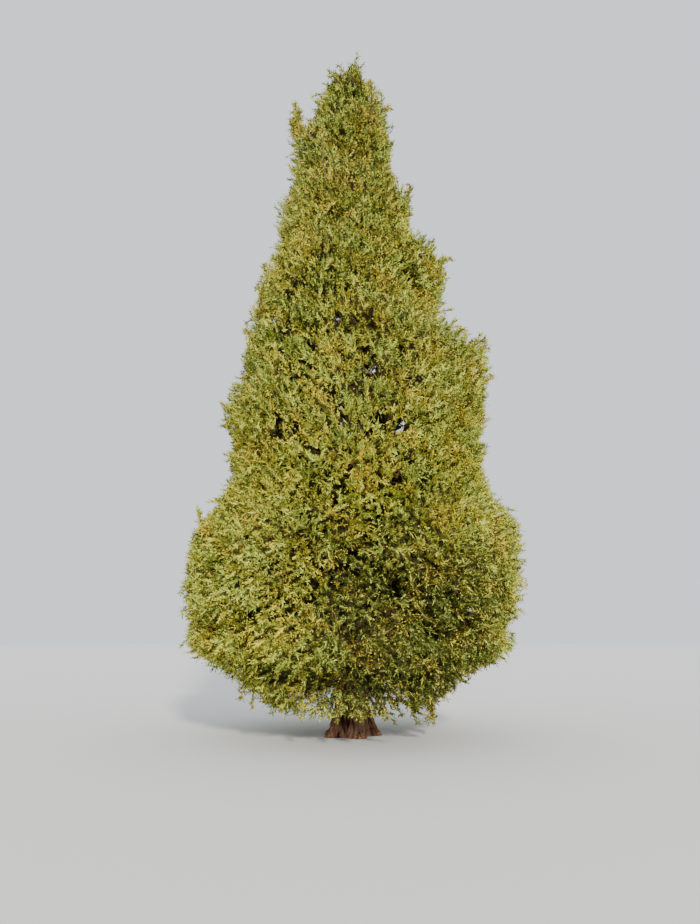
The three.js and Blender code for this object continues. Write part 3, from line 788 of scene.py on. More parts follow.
# %% [markdown]
# ## How a shoot grows
# A shoot starts at its mass's stem, as a twig does, and is leafy only at its end. There thin
# branchlets stand round it, shorter towards the tip, and carry small sprays.

# %% Growing the shoots
BRANCHLETS_ON_SHOOT, SPRAYS_ON_SHOOT, SHOOT_GROWTH = 18, 7, 0.8
SHOOT_SPRAYS_FROM, SHOOT_END, LEAFY_FROM = 0.2, 0.97, (0.1, 0.9)
SHOOT_WIDTHS, SHOOT_WIDTH_SCATTER = (1.1, 0.3), (0.7, 1.2)  # where its leafy end begins and ends
SHOOT_ONWARD, SHOOT_BEND, SHOOT_BACK = 0.9, 0.6, 0.2


def owner_of(shoot):
    """The mass whose middle is nearest to a shoot's tip, where foliage lies level."""
    level = levelled(np.array([shoot.tip] + [mass.heart for mass in masses]))
    return masses[np.linalg.norm(level[1:] - level[0], axis=1).argmin()]


def grow_shoots(mass, shoots, rng):
    """The shoots of one mass: a twig to each tip, with thin branchlets and sprays round it."""
    tips = np.array([shoot.tip for shoot in shoots])
    twigs = grow_twigs(mass, tips)
    ways = np.linalg.norm(tips - twigs[:, 0], axis=1)
    width = np.array([shoot.width for shoot in shoots])
    level = np.tile(np.linspace(0, 1, BRANCHLETS_ON_SHOOT), (len(shoots), 1))
    leafy_length = np.array([shoot.length for shoot in shoots])
    bare = np.clip(1 - leafy_length / ways, *LEAFY_FROM)[:, None]
    starts = on_curve(twigs, bare + (1 - bare) * SHOOT_END * level)
    along = heading_on_curve(twigs, bare + (1 - bare) * SHOOT_END * level)
    side = unit(rng.normal(0, 1, starts.shape) - along * SHOOT_BACK)
    taper = SHOOT_WIDTHS[0] + (SHOOT_WIDTHS[1] - SHOOT_WIDTHS[0]) * level
    reach = width[:, None] * taper * rng.uniform(*SHOOT_WIDTH_SCATTER, level.shape)
    ends = starts + (side + SHOOT_ONWARD * along) * reach[..., None]
    bends = starts + along * SHOOT_BEND * reach[..., None]
    branchlets = np.stack([starts, bends, ends], axis=2).reshape(-1, 3, 3)
    sprays = grow_sprays(branchlets, SPRAYS_ON_SHOOT, SHOOT_SPRAYS_FROM, SHOOT_GROWTH, rng)
    sprays.deep = np.full(len(sprays.limb), False)
    sprays.off = sprays.beyond = 0 * sprays.share
    leafy = np.array([shoot.leafy for shoot in shoots])[sprays.limb // BRANCHLETS_ON_SHOOT]
    return twigs, branchlets, picked(sprays, rng.random(len(leafy)) < leafy)


# %% [markdown]
# ## The whole crown
# Now every mass grows its coats, from the outer one to the hem, and then its single shoots. Each
# mass draws its chances from its own seed, so that a change in one leaves the others alone.

# %% The whole crown
def grow_coat(mass, coat, edges, headings, rng):
    """One coat in one mass: its twigs, branchlets and sprays."""
    clumps = clumps_of(mass, coat, edges, headings, rng)
    twigs = grow_twigs(mass, clumps.middles)
    branchlets = grow_branchlets(twigs, clumps, rng)
    outer = grow_sprays(branchlets, coat.sprays, SPRAYS_FROM, coat.growth, rng)
    outer.deep = np.full(len(outer.limb), coat.depth > 0)
    outer.off = clumps.off[outer.limb]
    outer.beyond = clumps.tuft[outer.limb]
    inner = grow_sprays(twigs, SPRAYS_ON_TWIG, TWIG_SPRAYS_FROM, TWIG_SPRAY_GROWTH, rng)
    inner.deep = np.full(len(inner.limb), True)
    inner.off = inner.beyond = 0 * inner.share
    sprays = trimmed(mass, turned_out(mass, together(outer, inner)))
    hides_glimpse = in_glimpse(sprays.root + sprays.ahead * (0.5 * sprays.length)[:, None], rng)
    shown = ~in_glimpse(branchlets[:, 2], rng)
    return twigs, branchlets[shown], picked(sprays, ~hides_glimpse)


def grow(mass, seed):
    """Everything that grows on one mass's stem."""
    rng = np.random.default_rng(seed)
    grown = []
    own_shoots = [shoot for shoot in SHOOTS if owner_of(shoot) is mass]
    for coat, edges, headings, outward in coat_ways:
        own, drawn_in = edges_in(mass, edges, outward)
        if own.any():
            grown.append(grow_coat(mass, coat, drawn_in[own], headings[own], rng))
    if own_shoots:
        grown.append(grow_shoots(mass, own_shoots, rng))
    mass.twigs = np.concatenate([twigs for twigs, _, _ in grown])
    mass.branchlets = np.concatenate([branchlets for _, branchlets, _ in grown])
    mass.sprays = grown[0][2]
    for _, _, sprays in grown[1:]:
        mass.sprays = together(mass.sprays, sprays)


coat_ways = []
for coat in COATS:
    coat_ways.append((coat, *(coat_under_hem if coat.name == "hem" else coat_on_crown)(coat)))
for seed, mass in enumerate(masses):
    grow(mass, seed)
print("clumps", sum(len(mass.twigs) for mass in masses))
print("branchlets", sum(len(mass.branchlets) for mass in masses))
print("sprays", sum(len(mass.sprays.length) for mass in masses))

# %% [markdown]
# ## From arrays to joined meshes
# Blender makes a mesh quickly when it is handed whole arrays. One helper takes corner places,
# triangles and, for each triangle, the number of its material. Another joins such arrays.

# %% Joined meshes
BODY = "root"


def joined_mesh(name, places, triangles, materials, material_of=None):
    """One object from arrays of corner places and triangles."""
    mesh = bpy.data.meshes.new(name)
    mesh.vertices.add(len(places))
    mesh.vertices.foreach_set("co", np.ascontiguousarray(places, np.float32).reshape(-1))
    mesh.loops.add(triangles.size)
    mesh.loops.foreach_set("vertex_index", np.ascontiguousarray(triangles, np.int32).reshape(-1))
    mesh.polygons.add(len(triangles))
    mesh.polygons.foreach_set("loop_start", np.arange(0, triangles.size, 3, dtype=np.int32))
    for material in materials:
        mesh.materials.append(material)
    if material_of is not None:
        mesh.polygons.foreach_set("material_index", material_of.astype(np.int32))
    mesh.update(calc_edges=True)
    mesh.validate()
    piece = bpy.data.objects.new(name, mesh)
    bpy.context.scene.collection.objects.link(piece)
    return piece


def merged(parts):
    """Several pairs of places and triangles as one pair."""
    offsets = np.cumsum([0] + [len(places) for places, _ in parts[:-1]])
    places = np.concatenate([places for places, _ in parts])
    triangles = np.concatenate([faces + off for (_, faces), off in zip(parts, offsets)])
    return places, triangles


def deselect_all():
    bpy.ops.object.select_all(action="DESELECT")


# %% [markdown]
# ## Tubes for thin limbs
# A bevelled curve for each twig would be thousands of objects. Here many curves become tapering
# tubes at once, each closed at its foot and drawn to a point at its tip.

# %% Tubes
UPRIGHT = 0.93  # a limb steeper than this needs a level direction to turn its rings by


def tubes(curves, shares, root_radius, tip_radius, sides):
    """Tapering tubes along many curves at once, as corner places and triangles."""
    count, rings = shares.shape
    centres = on_curve(curves, shares)
    along = heading_on_curve(curves, shares)
    upright = np.abs(along[:, rings // 2, 2]) > UPRIGHT
    reference = np.where(upright[:, None], np.array([1.0, 0.0, 0.0]), UP)[:, None]
    side = unit(np.cross(along, reference))
    over = np.cross(side, along)
    thin = np.linspace(0, 1, rings)
    radius = root_radius[:, None] * (1 - thin) + tip_radius * thin
    turn = 2 * math.pi * np.arange(sides) / sides
    ring = (
        np.cos(turn)[:, None] * side[:, :, None] + np.sin(turn)[:, None] * over[:, :, None]
    ) * radius[..., None, None]
    body = (centres[:, :-1, None] + ring[:, :-1]).reshape(count, -1, 3)
    places = np.concatenate([body, centres[:, -1:]], axis=1)
    j = np.arange(sides)
    after = (j + 1) % sides
    faces = [np.stack([0 * j[1:-1], j[2:], j[1:-1]], 1)]
    for step in range(rings - 2):
        low, high = step * sides, (step + 1) * sides
        faces.append(np.stack([low + j, low + after, high + after], 1))
        faces.append(np.stack([low + j, high + after, high + j], 1))
    tip = (rings - 1) * sides
    faces.append(np.stack([tip - sides + j, tip - sides + after, 0 * j + tip], 1))
    faces = np.concatenate(faces)
    offsets = np.arange(count) * places.shape[1]
    return places.reshape(-1, 3), (faces[None] + offsets[:, None, None]).reshape(-1, 3)


# %% [markdown]
# ## Nodes of a material
# A material is a tree of linked nodes. Two helpers keep it short to write: one makes a node and
# sets its values, and the other makes a ramp that turns a noise into colours.

# %% Shader nodes
def node(tree, kind, **values):
    """A shader node with its properties and its sockets' values set."""
    made = tree.nodes.new(kind)
    for name, value in values.items():
        if name in made.inputs:
            made.inputs[name].default_value = value
        else:
            setattr(made, name, value)
    return made


def colour_ramp(tree, stops):
    ramp = tree.nodes.new("ShaderNodeValToRGB")
    elements = ramp.color_ramp.elements
    while len(elements) < len(stops):
        elements.new(0.5)
    for element, (place, colour) in zip(elements, stops):
        element.position = place
        element.color = (*colour, 1.0)
    return ramp


# %% [markdown]
# ## Bark
# Incense cedar has thick, fibrous, cinnamon-brown bark in long upright ridges that part and
# meet again, greyer on the ridges and nearly black in the furrows. The furrows follow the limb,
# also where it leans, so every piece of bark keeps its place on the straight limb as an
# attribute named grain, and the material stretches its noise along that. A second attribute,
# relief, says how deep each place was cut, and the material darkens the deeper furrows by it:
# that darkening is painted shade.

# %% Bark material
FIBRE_SHARE = 0.55  # of the fibres in the bark's noise; the furrows have the rest


def bark_material(name, fineness, dark, warm, pale):
    """Fibrous bark: stretched noise for fibres, big noise for weather, painted furrow shade."""
    material = bpy.data.materials.new(name)
    material.use_nodes = True
    tree = material.node_tree
    links = tree.links
    shader = tree.nodes["Principled BSDF"]
    shader.inputs["Roughness"].default_value = 0.92
    shader.inputs["Specular IOR Level"].default_value = 0.2
    grain = node(tree, "ShaderNodeAttribute", attribute_name="grain")
    stretch = node(tree, "ShaderNodeMapping")
    stretch.inputs["Scale"].default_value = (fineness, fineness, 0.08 * fineness)
    fibres = node(tree, "ShaderNodeTexNoise", Scale=30.0, Detail=7.0, Roughness=0.62)
    furrows = node(tree, "ShaderNodeTexNoise", Scale=9.0, Detail=4.0, Roughness=0.55)
    patches = node(tree, "ShaderNodeTexNoise", Scale=2.2, Detail=3.0)
    links.new(grain.outputs["Vector"], stretch.inputs["Vector"])
    links.new(stretch.outputs["Vector"], fibres.inputs["Vector"])
    links.new(stretch.outputs["Vector"], furrows.inputs["Vector"])
    links.new(grain.outputs["Vector"], patches.inputs["Vector"])
    blend = node(tree, "ShaderNodeMath", operation="MULTIPLY_ADD")
    blend.inputs[1].default_value = FIBRE_SHARE
    links.new(fibres.outputs["Fac"], blend.inputs[0])
    rest = node(tree, "ShaderNodeMath", operation="MULTIPLY")
    rest.inputs[1].default_value = 1 - FIBRE_SHARE
    links.new(furrows.outputs["Fac"], rest.inputs[0])
    links.new(rest.outputs["Value"], blend.inputs[2])
    ramp = colour_ramp(tree, [(0.36, dark), (0.5, warm), (0.66, pale)])
    links.new(blend.outputs["Value"], ramp.inputs["Fac"])
    weather = node(tree, "ShaderNodeMix", data_type="RGBA", blend_type="MIX")
    grey = colour_ramp(tree, [(0.45, (0.0, 0.0, 0.0)), (0.75, (0.45, 0.45, 0.45))])
    links.new(patches.outputs["Fac"], grey.inputs["Fac"])
    links.new(grey.outputs["Color"], weather.inputs["Factor"])
    links.new(ramp.outputs["Color"], weather.inputs["A"])
    weather.inputs["B"].default_value = (0.19, 0.15, 0.12, 1.0)
    # Painted shade: the deeper a place was cut, the darker its colour.
    relief = node(tree, "ShaderNodeAttribute", attribute_name="relief")
    painted_furrow_shade = colour_ramp(tree, [(0.26, (0.22, 0.18, 0.16)), (0.5, (1.0, 1.0, 1.0))])
    links.new(relief.outputs["Fac"], painted_furrow_shade.inputs["Fac"])
    shade = node(tree, "ShaderNodeMix", data_type="RGBA", blend_type="MULTIPLY")
    shade.inputs["Factor"].default_value = 1.0
    links.new(weather.outputs["Result"], shade.inputs["A"])
    links.new(painted_furrow_shade.outputs["Color"], shade.inputs["B"])
    links.new(shade.outputs["Result"], shader.inputs["Base Color"])
    bump = node(tree, "ShaderNodeBump", Strength=0.6, Distance=0.012)
    links.new(blend.outputs["Value"], bump.inputs["Height"])
    links.new(bump.outputs["Normal"], shader.inputs["Normal"])
    return material


old_bark = bark_material(
    "old fibrous bark", 1.0, (0.045, 0.02, 0.012), (0.24, 0.115, 0.06), (0.42, 0.25, 0.15)
)
young_bark = bark_material(
    "young bark", 2.4, (0.05, 0.025, 0.014), (0.2, 0.105, 0.055), (0.36, 0.22, 0.13)
)
print("two barks:", old_bark.name, "and", young_bark.name)

# %% [markdown]
# ## Limbs from a rolled sheet
# A limb could be a bevelled curve, but bark needs an even grid of faces to carve. So a flat
# grid is added as a sheet of bark and rolled round into an upright limb with its true taper.
# Its seam is merged and its ends are filled.

# %% Rolled sheets
def bark_sheet(name, sides, steps):
    deselect_all()
    bpy.ops.mesh.primitive_grid_add(x_subdivisions=sides, y_subdivisions=steps, size=1.0)
    sheet = bpy.context.active_object
    sheet.name = name
    sheet.data.name = name
    return sheet


def places_of(piece):
    places = np.empty(len(piece.data.vertices) * 3, np.float32)
    piece.data.vertices.foreach_get("co", places)
    return places.reshape(-1, 3).astype(float)


def set_places(piece, places):
    piece.data.vertices.foreach_set("co", places.astype(np.float32).reshape(-1))
    piece.data.update()


def face_outward():
    """Turns the faces of the piece in hand outward."""
    bpy.ops.object.mode_set(mode="EDIT")
    bpy.ops.mesh.select_all(action="SELECT")
    bpy.ops.mesh.normals_make_consistent(inside=False)
    bpy.ops.object.mode_set(mode="OBJECT")


def roll_up(limb, length, radius_at):
    """Rolls the sheet into an upright limb whose radius depends on share and turn."""
    flat = places_of(limb)
    around = 2 * math.pi * (flat[:, 0] + 0.5)
    share = flat[:, 1] + 0.5
    radius = radius_at(share, around)
    upright = [radius * np.cos(around), radius * np.sin(around), share * length]
    set_places(limb, np.stack(upright, axis=1))
    bpy.ops.object.mode_set(mode="EDIT")
    bpy.ops.mesh.select_all(action="SELECT")
    bpy.ops.mesh.remove_doubles(threshold=1e-5)
    bpy.ops.mesh.fill_holes(sides=0)
    bpy.ops.object.mode_set(mode="OBJECT")
    face_outward()


# %% [markdown]
# ## Carving the bark
# Displace modifiers cut the furrows while the limb is still upright, with a noise that an empty
# stretches along it. How deep a place was cut is kept for the material, and the finished limb
# is laid along its curve later.

# %% Carved bark
SMOOTH_ANGLE = math.radians(50)
LEAST_RADIUS = 1e-4


def carve(limb, kind, depth_at, width, stretch):
    """Cuts a noise into the bark, as deep as depth_at says for each place on the limb."""
    places = places_of(limb)
    depths = depth_at(places)
    deepest = float(depths.max())
    group = limb.vertex_groups.new(name="depth")
    for i, depth in enumerate(depths):
        group.add([i], float(depth) / deepest, "REPLACE")
    frame_of_noise = bpy.data.objects.new("noise frame", None)
    bpy.context.scene.collection.objects.link(frame_of_noise)
    frame_of_noise.scale = (width, width, stretch)
    bpy.context.view_layer.update()
    texture = bpy.data.textures.new("furrows", kind)
    texture.noise_scale = 1.0
    push = limb.modifiers.new("furrows", "DISPLACE")
    push.texture = texture
    push.texture_coords = "OBJECT"
    push.texture_coords_object = frame_of_noise
    push.vertex_group = group.name
    push.strength = deepest
    push.mid_level = 0.5
    bpy.ops.object.modifier_apply(modifier=push.name)
    limb.vertex_groups.clear()
    bpy.data.objects.remove(frame_of_noise)


def keep_grain(limb):
    """Stores each corner's place on the straight limb, for the bark's material."""
    grain = limb.data.attributes.new("grain", "FLOAT_VECTOR", "POINT")
    grain.data.foreach_set("vector", places_of(limb).astype(np.float32).reshape(-1))


def keep_relief(limb, before, furrow_share):
    """Stores how far each corner was cut in or left standing, from 0 to 1, for the material."""
    rise = np.hypot(*places_of(limb)[:, :2].T)
    rise /= np.maximum(np.hypot(*before[:, :2].T), LEAST_RADIUS)
    rise -= np.median(rise)
    relief = limb.data.attributes.new("relief", "FLOAT", "POINT")
    relief.data.foreach_set("value", (0.5 + rise / (2 * furrow_share)).astype(np.float32))


def smooth(piece):
    deselect_all()
    piece.select_set(True)
    bpy.context.view_layer.objects.active = piece
    bpy.ops.object.shade_smooth_by_angle(angle=SMOOTH_ANGLE)


# %% [markdown]
# ## The trunk
# The trunk is one limb from the flat cut at the ground to its tip in the top of the crown, with
# a flare and five buttresses at its foot. Its rings stand closest near the ground, where it is
# seen, and two noises carve it: a coarse one for the long ridges and a fine one for the fibres.

# %% Trunk
TRUNK_SIDES, TRUNK_STEPS = 168, 170
BUTTRESSES, BUTTRESS_DEPTH, BUTTRESS_FADE = 5, 0.2, 0.65
TRUNK_RING_POWER = 1.7  # rings lie closer together near the root flare
FURROW_SHARE = 0.115  # of the trunk's radius
FOOT_EDGE = 0.02  # the height in which the furrows run out at the flat cut


def trunk_height(share):
    return TRUNK_TOP * share**TRUNK_RING_POWER


def trunk_section(share, around):
    z = trunk_height(share)
    buttress = np.cos(BUTTRESSES * around) * BUTTRESS_DEPTH * np.exp(-z / BUTTRESS_FADE)
    return trunk_radius(z) * (1 + buttress)


def trunk_furrows(places):
    """Furrows go shallow towards the flat cut, so that it stays flat, and towards the tip."""
    z = places[:, 2]
    return FURROW_SHARE * trunk_radius(z) * np.clip(z / FOOT_EDGE, 0, 1)


trunk = bark_sheet("trunk_bark", TRUNK_SIDES, TRUNK_STEPS)
roll_up(trunk, 1.0, trunk_section)
straight = places_of(trunk)
straight[:, 1] *= -1
straight[:, 2] = trunk_height(straight[:, 2])
set_places(trunk, straight)
keep_grain(trunk)
carve(trunk, "MUSGRAVE", trunk_furrows, width=0.05, stretch=0.75)
carve(trunk, "CLOUDS", trunk_furrows, width=0.022, stretch=0.4)
keep_relief(trunk, straight, FURROW_SHARE)
carved = places_of(trunk)
carved[:, :2] += trunk_centre(carved[:, 2])[:, :2]
carved[:, 2] = np.clip(carved[:, 2], 0.0, TRUNK_TOP)
set_places(trunk, carved)
face_outward()
smooth(trunk)
trunk.data.materials.append(old_bark)
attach(trunk, BODY)
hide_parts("trunk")
print("trunk", len(trunk.data.polygons), "faces")

# %% [markdown]
# ## The boughs
# Each main bough is a thinner limb of the same kind, with a collar where it leaves the trunk.
# Only short stretches of them are seen, so a coarser sheet and a single noise are enough.

# %% Boughs
BOUGH_SIDES, BOUGH_STEPS = 20, 36
BOUGH_FURROW_SHARE = 0.12


def bough_piece(mass):
    corners = bough_corners(mass)
    length = float(np.linalg.norm(mass.root - mass.foot))

    def radius_at(share, around):
        collar = COLLAR_GIRTH * np.exp(-share / COLLAR_FADE)
        return bough_radius(mass) * (1 + (BOUGH_TIP_SHARE - 1) * share + collar)

    def furrows(places):
        return BOUGH_FURROW_SHARE * radius_at(places[:, 2] / length, 0)

    bough = bark_sheet(f"{mass.bough}_bark", BOUGH_SIDES, BOUGH_STEPS)
    roll_up(bough, length, radius_at)
    keep_grain(bough)
    straight = places_of(bough)
    carve(bough, "CLOUDS", furrows, width=0.02, stretch=0.2)
    keep_relief(bough, straight, BOUGH_FURROW_SHARE)
    places = places_of(bough)
    share = np.clip(places[:, 2] / length, 0, 1)[None]
    along = heading_on_curve(corners, share)[0]
    side = unit(np.cross(along, UP))
    over = np.cross(side, along)
    laid = on_curve(corners, share)[0] + side * places[:, :1] - over * places[:, 1:2]
    set_places(bough, laid)
    face_outward()
    smooth(bough)
    bough.data.materials.append(young_bark)
    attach(bough, BODY)
    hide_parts(mass.bough)
    return bough


boughs = [bough_piece(mass) for mass in masses if mass.bough]
print(len(boughs), "boughs,", sum(len(bough.data.polygons) for bough in boughs), "faces")

# %% [markdown]
# ## Stems and twigs
# The wood inside a mass is seen only in glimpses between the sprays, but it is what everything
# hangs on. Stem, twigs and branchlets of one tier are tubes with 6, 4 and 3 sides, joined.

# %% Wood of the masses
STEM_TIP_RADIUS = 0.007
TWIG_ROOT_RADIUS, TWIG_TIP_RADIUS = 0.014, 0.006
BRANCHLET_ROOT_RADIUS, BRANCHLET_TIP_RADIUS = 0.0055, 0.0025
STEM_RINGS, TWIG_RINGS, BRANCHLET_RINGS = 14, 4, 2
STEM_SIDES, TWIG_SIDES, BRANCHLET_SIDES = 6, 4, 3


def twig_material():
    material = bpy.data.materials.new("twig bark")
    material.use_nodes = True
    tree = material.node_tree
    shader = tree.nodes["Principled BSDF"]
    shader.inputs["Roughness"].default_value = 0.85
    place = node(tree, "ShaderNodeTexCoord")
    noise = node(tree, "ShaderNodeTexNoise", Scale=14.0, Detail=4.0)
    ramp = colour_ramp(tree, [(0.35, (0.06, 0.03, 0.018)), (0.65, (0.2, 0.115, 0.06))])
    tree.links.new(place.outputs["Object"], noise.inputs["Vector"])
    tree.links.new(noise.outputs["Fac"], ramp.inputs["Fac"])
    tree.links.new(ramp.outputs["Color"], shader.inputs["Base Color"])
    return material


def even_tubes(curves, rings, root_radius, tip_radius, sides):
    """Tubes along some curves, all with the same girth and with evenly spaced rings."""
    shares = np.tile(np.linspace(0, 1, rings), (len(curves), 1))
    return tubes(curves, shares, np.full(len(curves), root_radius), tip_radius, sides)


def wood_of(mass):
    """The stem, twigs and branchlets of one mass."""
    girth = bough_radius(mass) * BOUGH_TIP_SHARE
    branchlet_radii = (BRANCHLET_ROOT_RADIUS, BRANCHLET_TIP_RADIUS)
    return [
        even_tubes(mass.stem, STEM_RINGS, girth, STEM_TIP_RADIUS, STEM_SIDES),
        even_tubes(mass.twigs, TWIG_RINGS, TWIG_ROOT_RADIUS, TWIG_TIP_RADIUS, TWIG_SIDES),
        even_tubes(mass.branchlets, BRANCHLET_RINGS, *branchlet_radii, BRANCHLET_SIDES),
    ]


twig_bark = twig_material()
tiers = list(dict.fromkeys(mass.tier for mass in masses))
for tier in tiers:
    wood = merged([part for mass in masses if mass.tier == tier for part in wood_of(mass)])
    piece = joined_mesh(f"{tier}_twigs", *wood, [twig_bark])
    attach(piece, BODY)
    print(piece.name, len(wood[1]), "triangles")


# %% [markdown]
# ## The shapes of a spray
# A spray of incense cedar is flat and feathery: slim side shoots leave a rib at both sides,
# swept forward, longest below the middle, with air between them. By hand that is a
# three-cornered disc drawn out into a blade, once for the rib and once for each side shoot,
# turned and moved to its place. Each kind is modelled once and then copied as arrays.

# %% Spray shapes
SprayShape = namedtuple("SprayShape", "pairs reach width sweep cup tones")
SPRAY_SHAPES = [  # tones: how many steps of painted light or shade its rib and each shoot are off the spray
    SprayShape(2, 0.62, 0.2, 38, 25, (0, -1, 1, 1, 0)),
    SprayShape(2, 0.55, 0.22, 46, -30, (-1, 1, 0, 0, 1)),
    SprayShape(2, 0.66, 0.19, 32, -20, (1, 0, -1, 1, -1)),
    SprayShape(2, 0.58, 0.22, 50, 35, (0, 1, -1, -1, 1)),
    SprayShape(1, 0.7, 0.36, 42, 20, (0, 0, 0)),
]
OUTER_KINDS = 4  # the last shape is the plain one of the shaded depth
RIB_WIDTH = 0.16
SHOOTS_FROM, SHOOTS_TO = 0.1, 0.55  # of the rib's length
SHOOT_STAGGER = 0.03  # how far the shoots of a pair are from standing opposite each other
TRIANGLE_BASE, TRIANGLE_HEIGHT = math.sqrt(3), 1.5  # of a three-cornered disc of radius one


def add_blade(length, width, turn, tilt, along):
    """A slim pointed blade from the rib, in the spray that is being edited."""
    bpy.ops.mesh.select_all(action="DESELECT")
    bpy.ops.mesh.primitive_circle_add(
        vertices=3, radius=1, fill_type="NGON", location=(0, TRIANGLE_HEIGHT - 1, 0)
    )
    size = (width / TRIANGLE_BASE, length / TRIANGLE_HEIGHT, 1)
    bpy.ops.transform.resize(value=size, center_override=(0, 0, 0))
    bpy.ops.transform.rotate(value=tilt, orient_axis="X", center_override=(0, 0, 0))
    bpy.ops.transform.rotate(value=turn, orient_axis="Z", center_override=(0, 0, 0))
    bpy.ops.transform.translate(value=(0, along, 0))


def model_spray(shape):
    """One flat spray, one long, with its root at the origin and growing along +Y."""
    deselect_all()
    bpy.ops.mesh.primitive_circle_add(vertices=3, radius=1, fill_type="NGON")
    spray = bpy.context.active_object
    bpy.ops.object.mode_set(mode="EDIT")
    bpy.ops.mesh.select_all(action="SELECT")
    bpy.ops.mesh.delete(type="VERT")
    add_blade(1.0, RIB_WIDTH, 0.0, 0.0, 0.0)
    for k in range(shape.pairs):
        level = k / max(shape.pairs - 1, 1)
        along = SHOOTS_FROM + (SHOOTS_TO - SHOOTS_FROM) * level
        length = shape.reach * (0.75 + 0.5 * math.sin(math.pi * level) - 0.35 * level)
        width = shape.width * (1 - 0.3 * level)
        turn = math.radians(shape.sweep * (1.15 - 0.4 * level))
        for sign in (-1, 1):
            foot = along + sign * SHOOT_STAGGER
            add_blade(length, width, sign * turn, math.radians(shape.cup), foot)
    bpy.ops.object.mode_set(mode="OBJECT")
    places = places_of(spray)
    triangles = np.array([list(face.vertices) for face in spray.data.polygons])
    bpy.data.objects.remove(spray)
    return places, triangles


spray_shapes = [model_spray(shape) for shape in SPRAY_SHAPES]
print("faces of the sprays", [len(triangles) for _, triangles in spray_shapes])

# %% [markdown]
# ## Foliage colours
# Fresh tips are yellow-green, older sprays deeper green. In late autumn the tree is set all
# over with golden pollen cones and with inner sprays that turn ochre before they are shed.
# Each hue comes in a shaded, a plain and a fresh copy: the shaded copy is painted shade, and
# the fresh one partly young growth and partly painted light. A noise could blend these colours,
# but on the real tree each spray has one of its own, so each colour is a plain material.

# %% Foliage materials
Tint = namedtuple("Tint", "name colour roughness")
# The shaded tints are painted shade, and the fresh and pale ones partly painted light.
TINTS = [
    Tint("green, shaded", (0.055, 0.072, 0.01), 0.6),
    Tint("green", (0.28, 0.345, 0.058), 0.6),
    Tint("green, fresh", (0.6, 0.675, 0.11), 0.6),
    Tint("olive, shaded", (0.068, 0.068, 0.011), 0.6),
    Tint("olive", (0.345, 0.345, 0.052), 0.6),
    Tint("olive, fresh", (0.69, 0.645, 0.072), 0.6),
    Tint("gold, shaded", (0.085, 0.062, 0.011), 0.65),
    Tint("gold", (0.425, 0.345, 0.045), 0.65),
    Tint("gold, pale", (0.79, 0.645, 0.072), 0.65),
    # The two dark tints of the depth are partly shed foliage and partly painted shade.
    Tint("deep green", (0.075, 0.092, 0.014), 0.7),
    Tint("shed brown", (0.115, 0.08, 0.023), 0.75),
]


def tint_material(tint):
    material = bpy.data.materials.new(tint.name)
    material.use_nodes = True
    shader = material.node_tree.nodes["Principled BSDF"]
    shader.inputs["Base Color"].default_value = (*tint.colour, 1.0)
    shader.inputs["Roughness"].default_value = tint.roughness
    shader.inputs["Specular IOR Level"].default_value = 0.25
    return material


tint_materials = [tint_material(tint) for tint in TINTS]
print(len(TINTS), "tints of foliage")

# %% [markdown]
# ## Dealing out the tints
# Each spray gets its tint by how far out it sits, by a slow change from clump to clump, and by
# chance; how light a copy of its hue it takes is painted light or shade. The large sprays in
# the depth are dark, partly as painted shade. A painted shadow lies over the low front, a
# painted pool of light lies above it, and low sprays get more painted light than high ones.

# %% Tints by place and chance
HUE_BOUNDS = (0.4, 0.68)  # of the warmth: green below the first, gold above the second
SHADE_BOUNDS = (0.26, 0.7)  # of a chance: painted shade below the first, painted light above the second
DEEP_TINTS, DEEP_GREEN_SHARE = (9, 10), 0.7
DARK_FROM = 0.22  # painted shade: how far in from the crown's edge, as a share, large sprays are dark
DARK_OFF, DARK_CHANCE = 0.35, 0.35  # painted shade between clumps: some small ones far off their clump's middle are dark too
EVEN_WARMTH, CLUMP_WARMTH, INNER_WARMTH, WARMTH_SCATTER = 0.52, 0.22, 0.5, 0.175
OUTER_LIGHT = 0.25
GREEN_TUFTS = 2.0  # how much greener a tuft is for each metre that it stands out
PAINTED_LIGHT_BELOW, EVEN_HEIGHT = 0.022, 7.5  # painted light: low sprays are dealt lighter tints than high ones
# Painted shadow over the low part of the front: its sprays are dealt darker tints.
PAINTED_SHADOW, PAINTED_SHADOW_FADE = 0.6, 0.8
PAINTED_SHADOW_LEFT, PAINTED_SHADOW_RIGHT, PAINTED_SHADOW_TOP = -0.7, 2.6, 3.0  # painted shadow: where the low part of the front is darker
PAINTED_LIGHT_POOL, PAINTED_LIGHT_POOL_MIDDLE, PAINTED_LIGHT_POOL_REACH = 0.32, (-0.2, 3.65), (0.85, 0.55)  # a painted pool of light on the front: its strength, middle and reach, x and z


def painted_shadow_at(p):
    """How far places are in the painted shadow over the low part of the front."""
    from_sides = np.minimum(p[:, 0] - PAINTED_SHADOW_LEFT, PAINTED_SHADOW_RIGHT - p[:, 0])
    deep_in = np.minimum(from_sides, PAINTED_SHADOW_TOP - p[:, 2]) / PAINTED_SHADOW_FADE
    return np.clip(deep_in, 0, 1) * (p[:, 1] < 0)


def painted_light_pool_at(p):
    """How far places are in the painted pool of light on the front."""
    off = (p[:, [0, 2]] - PAINTED_LIGHT_POOL_MIDDLE) / PAINTED_LIGHT_POOL_REACH
    return np.exp(-np.sum(off**2, axis=1)) * (p[:, 1] < 0)


def inward_share(p):
    """How far in from the crown's edge places lie, as a share of the way to the trunk."""
    distance = np.hypot(p[:, 0], p[:, 1]) + SPACE_MARGIN
    return 1 - distance / crown_reach(p[:, 2], p[:, 0] / distance, p[:, 1] / distance)


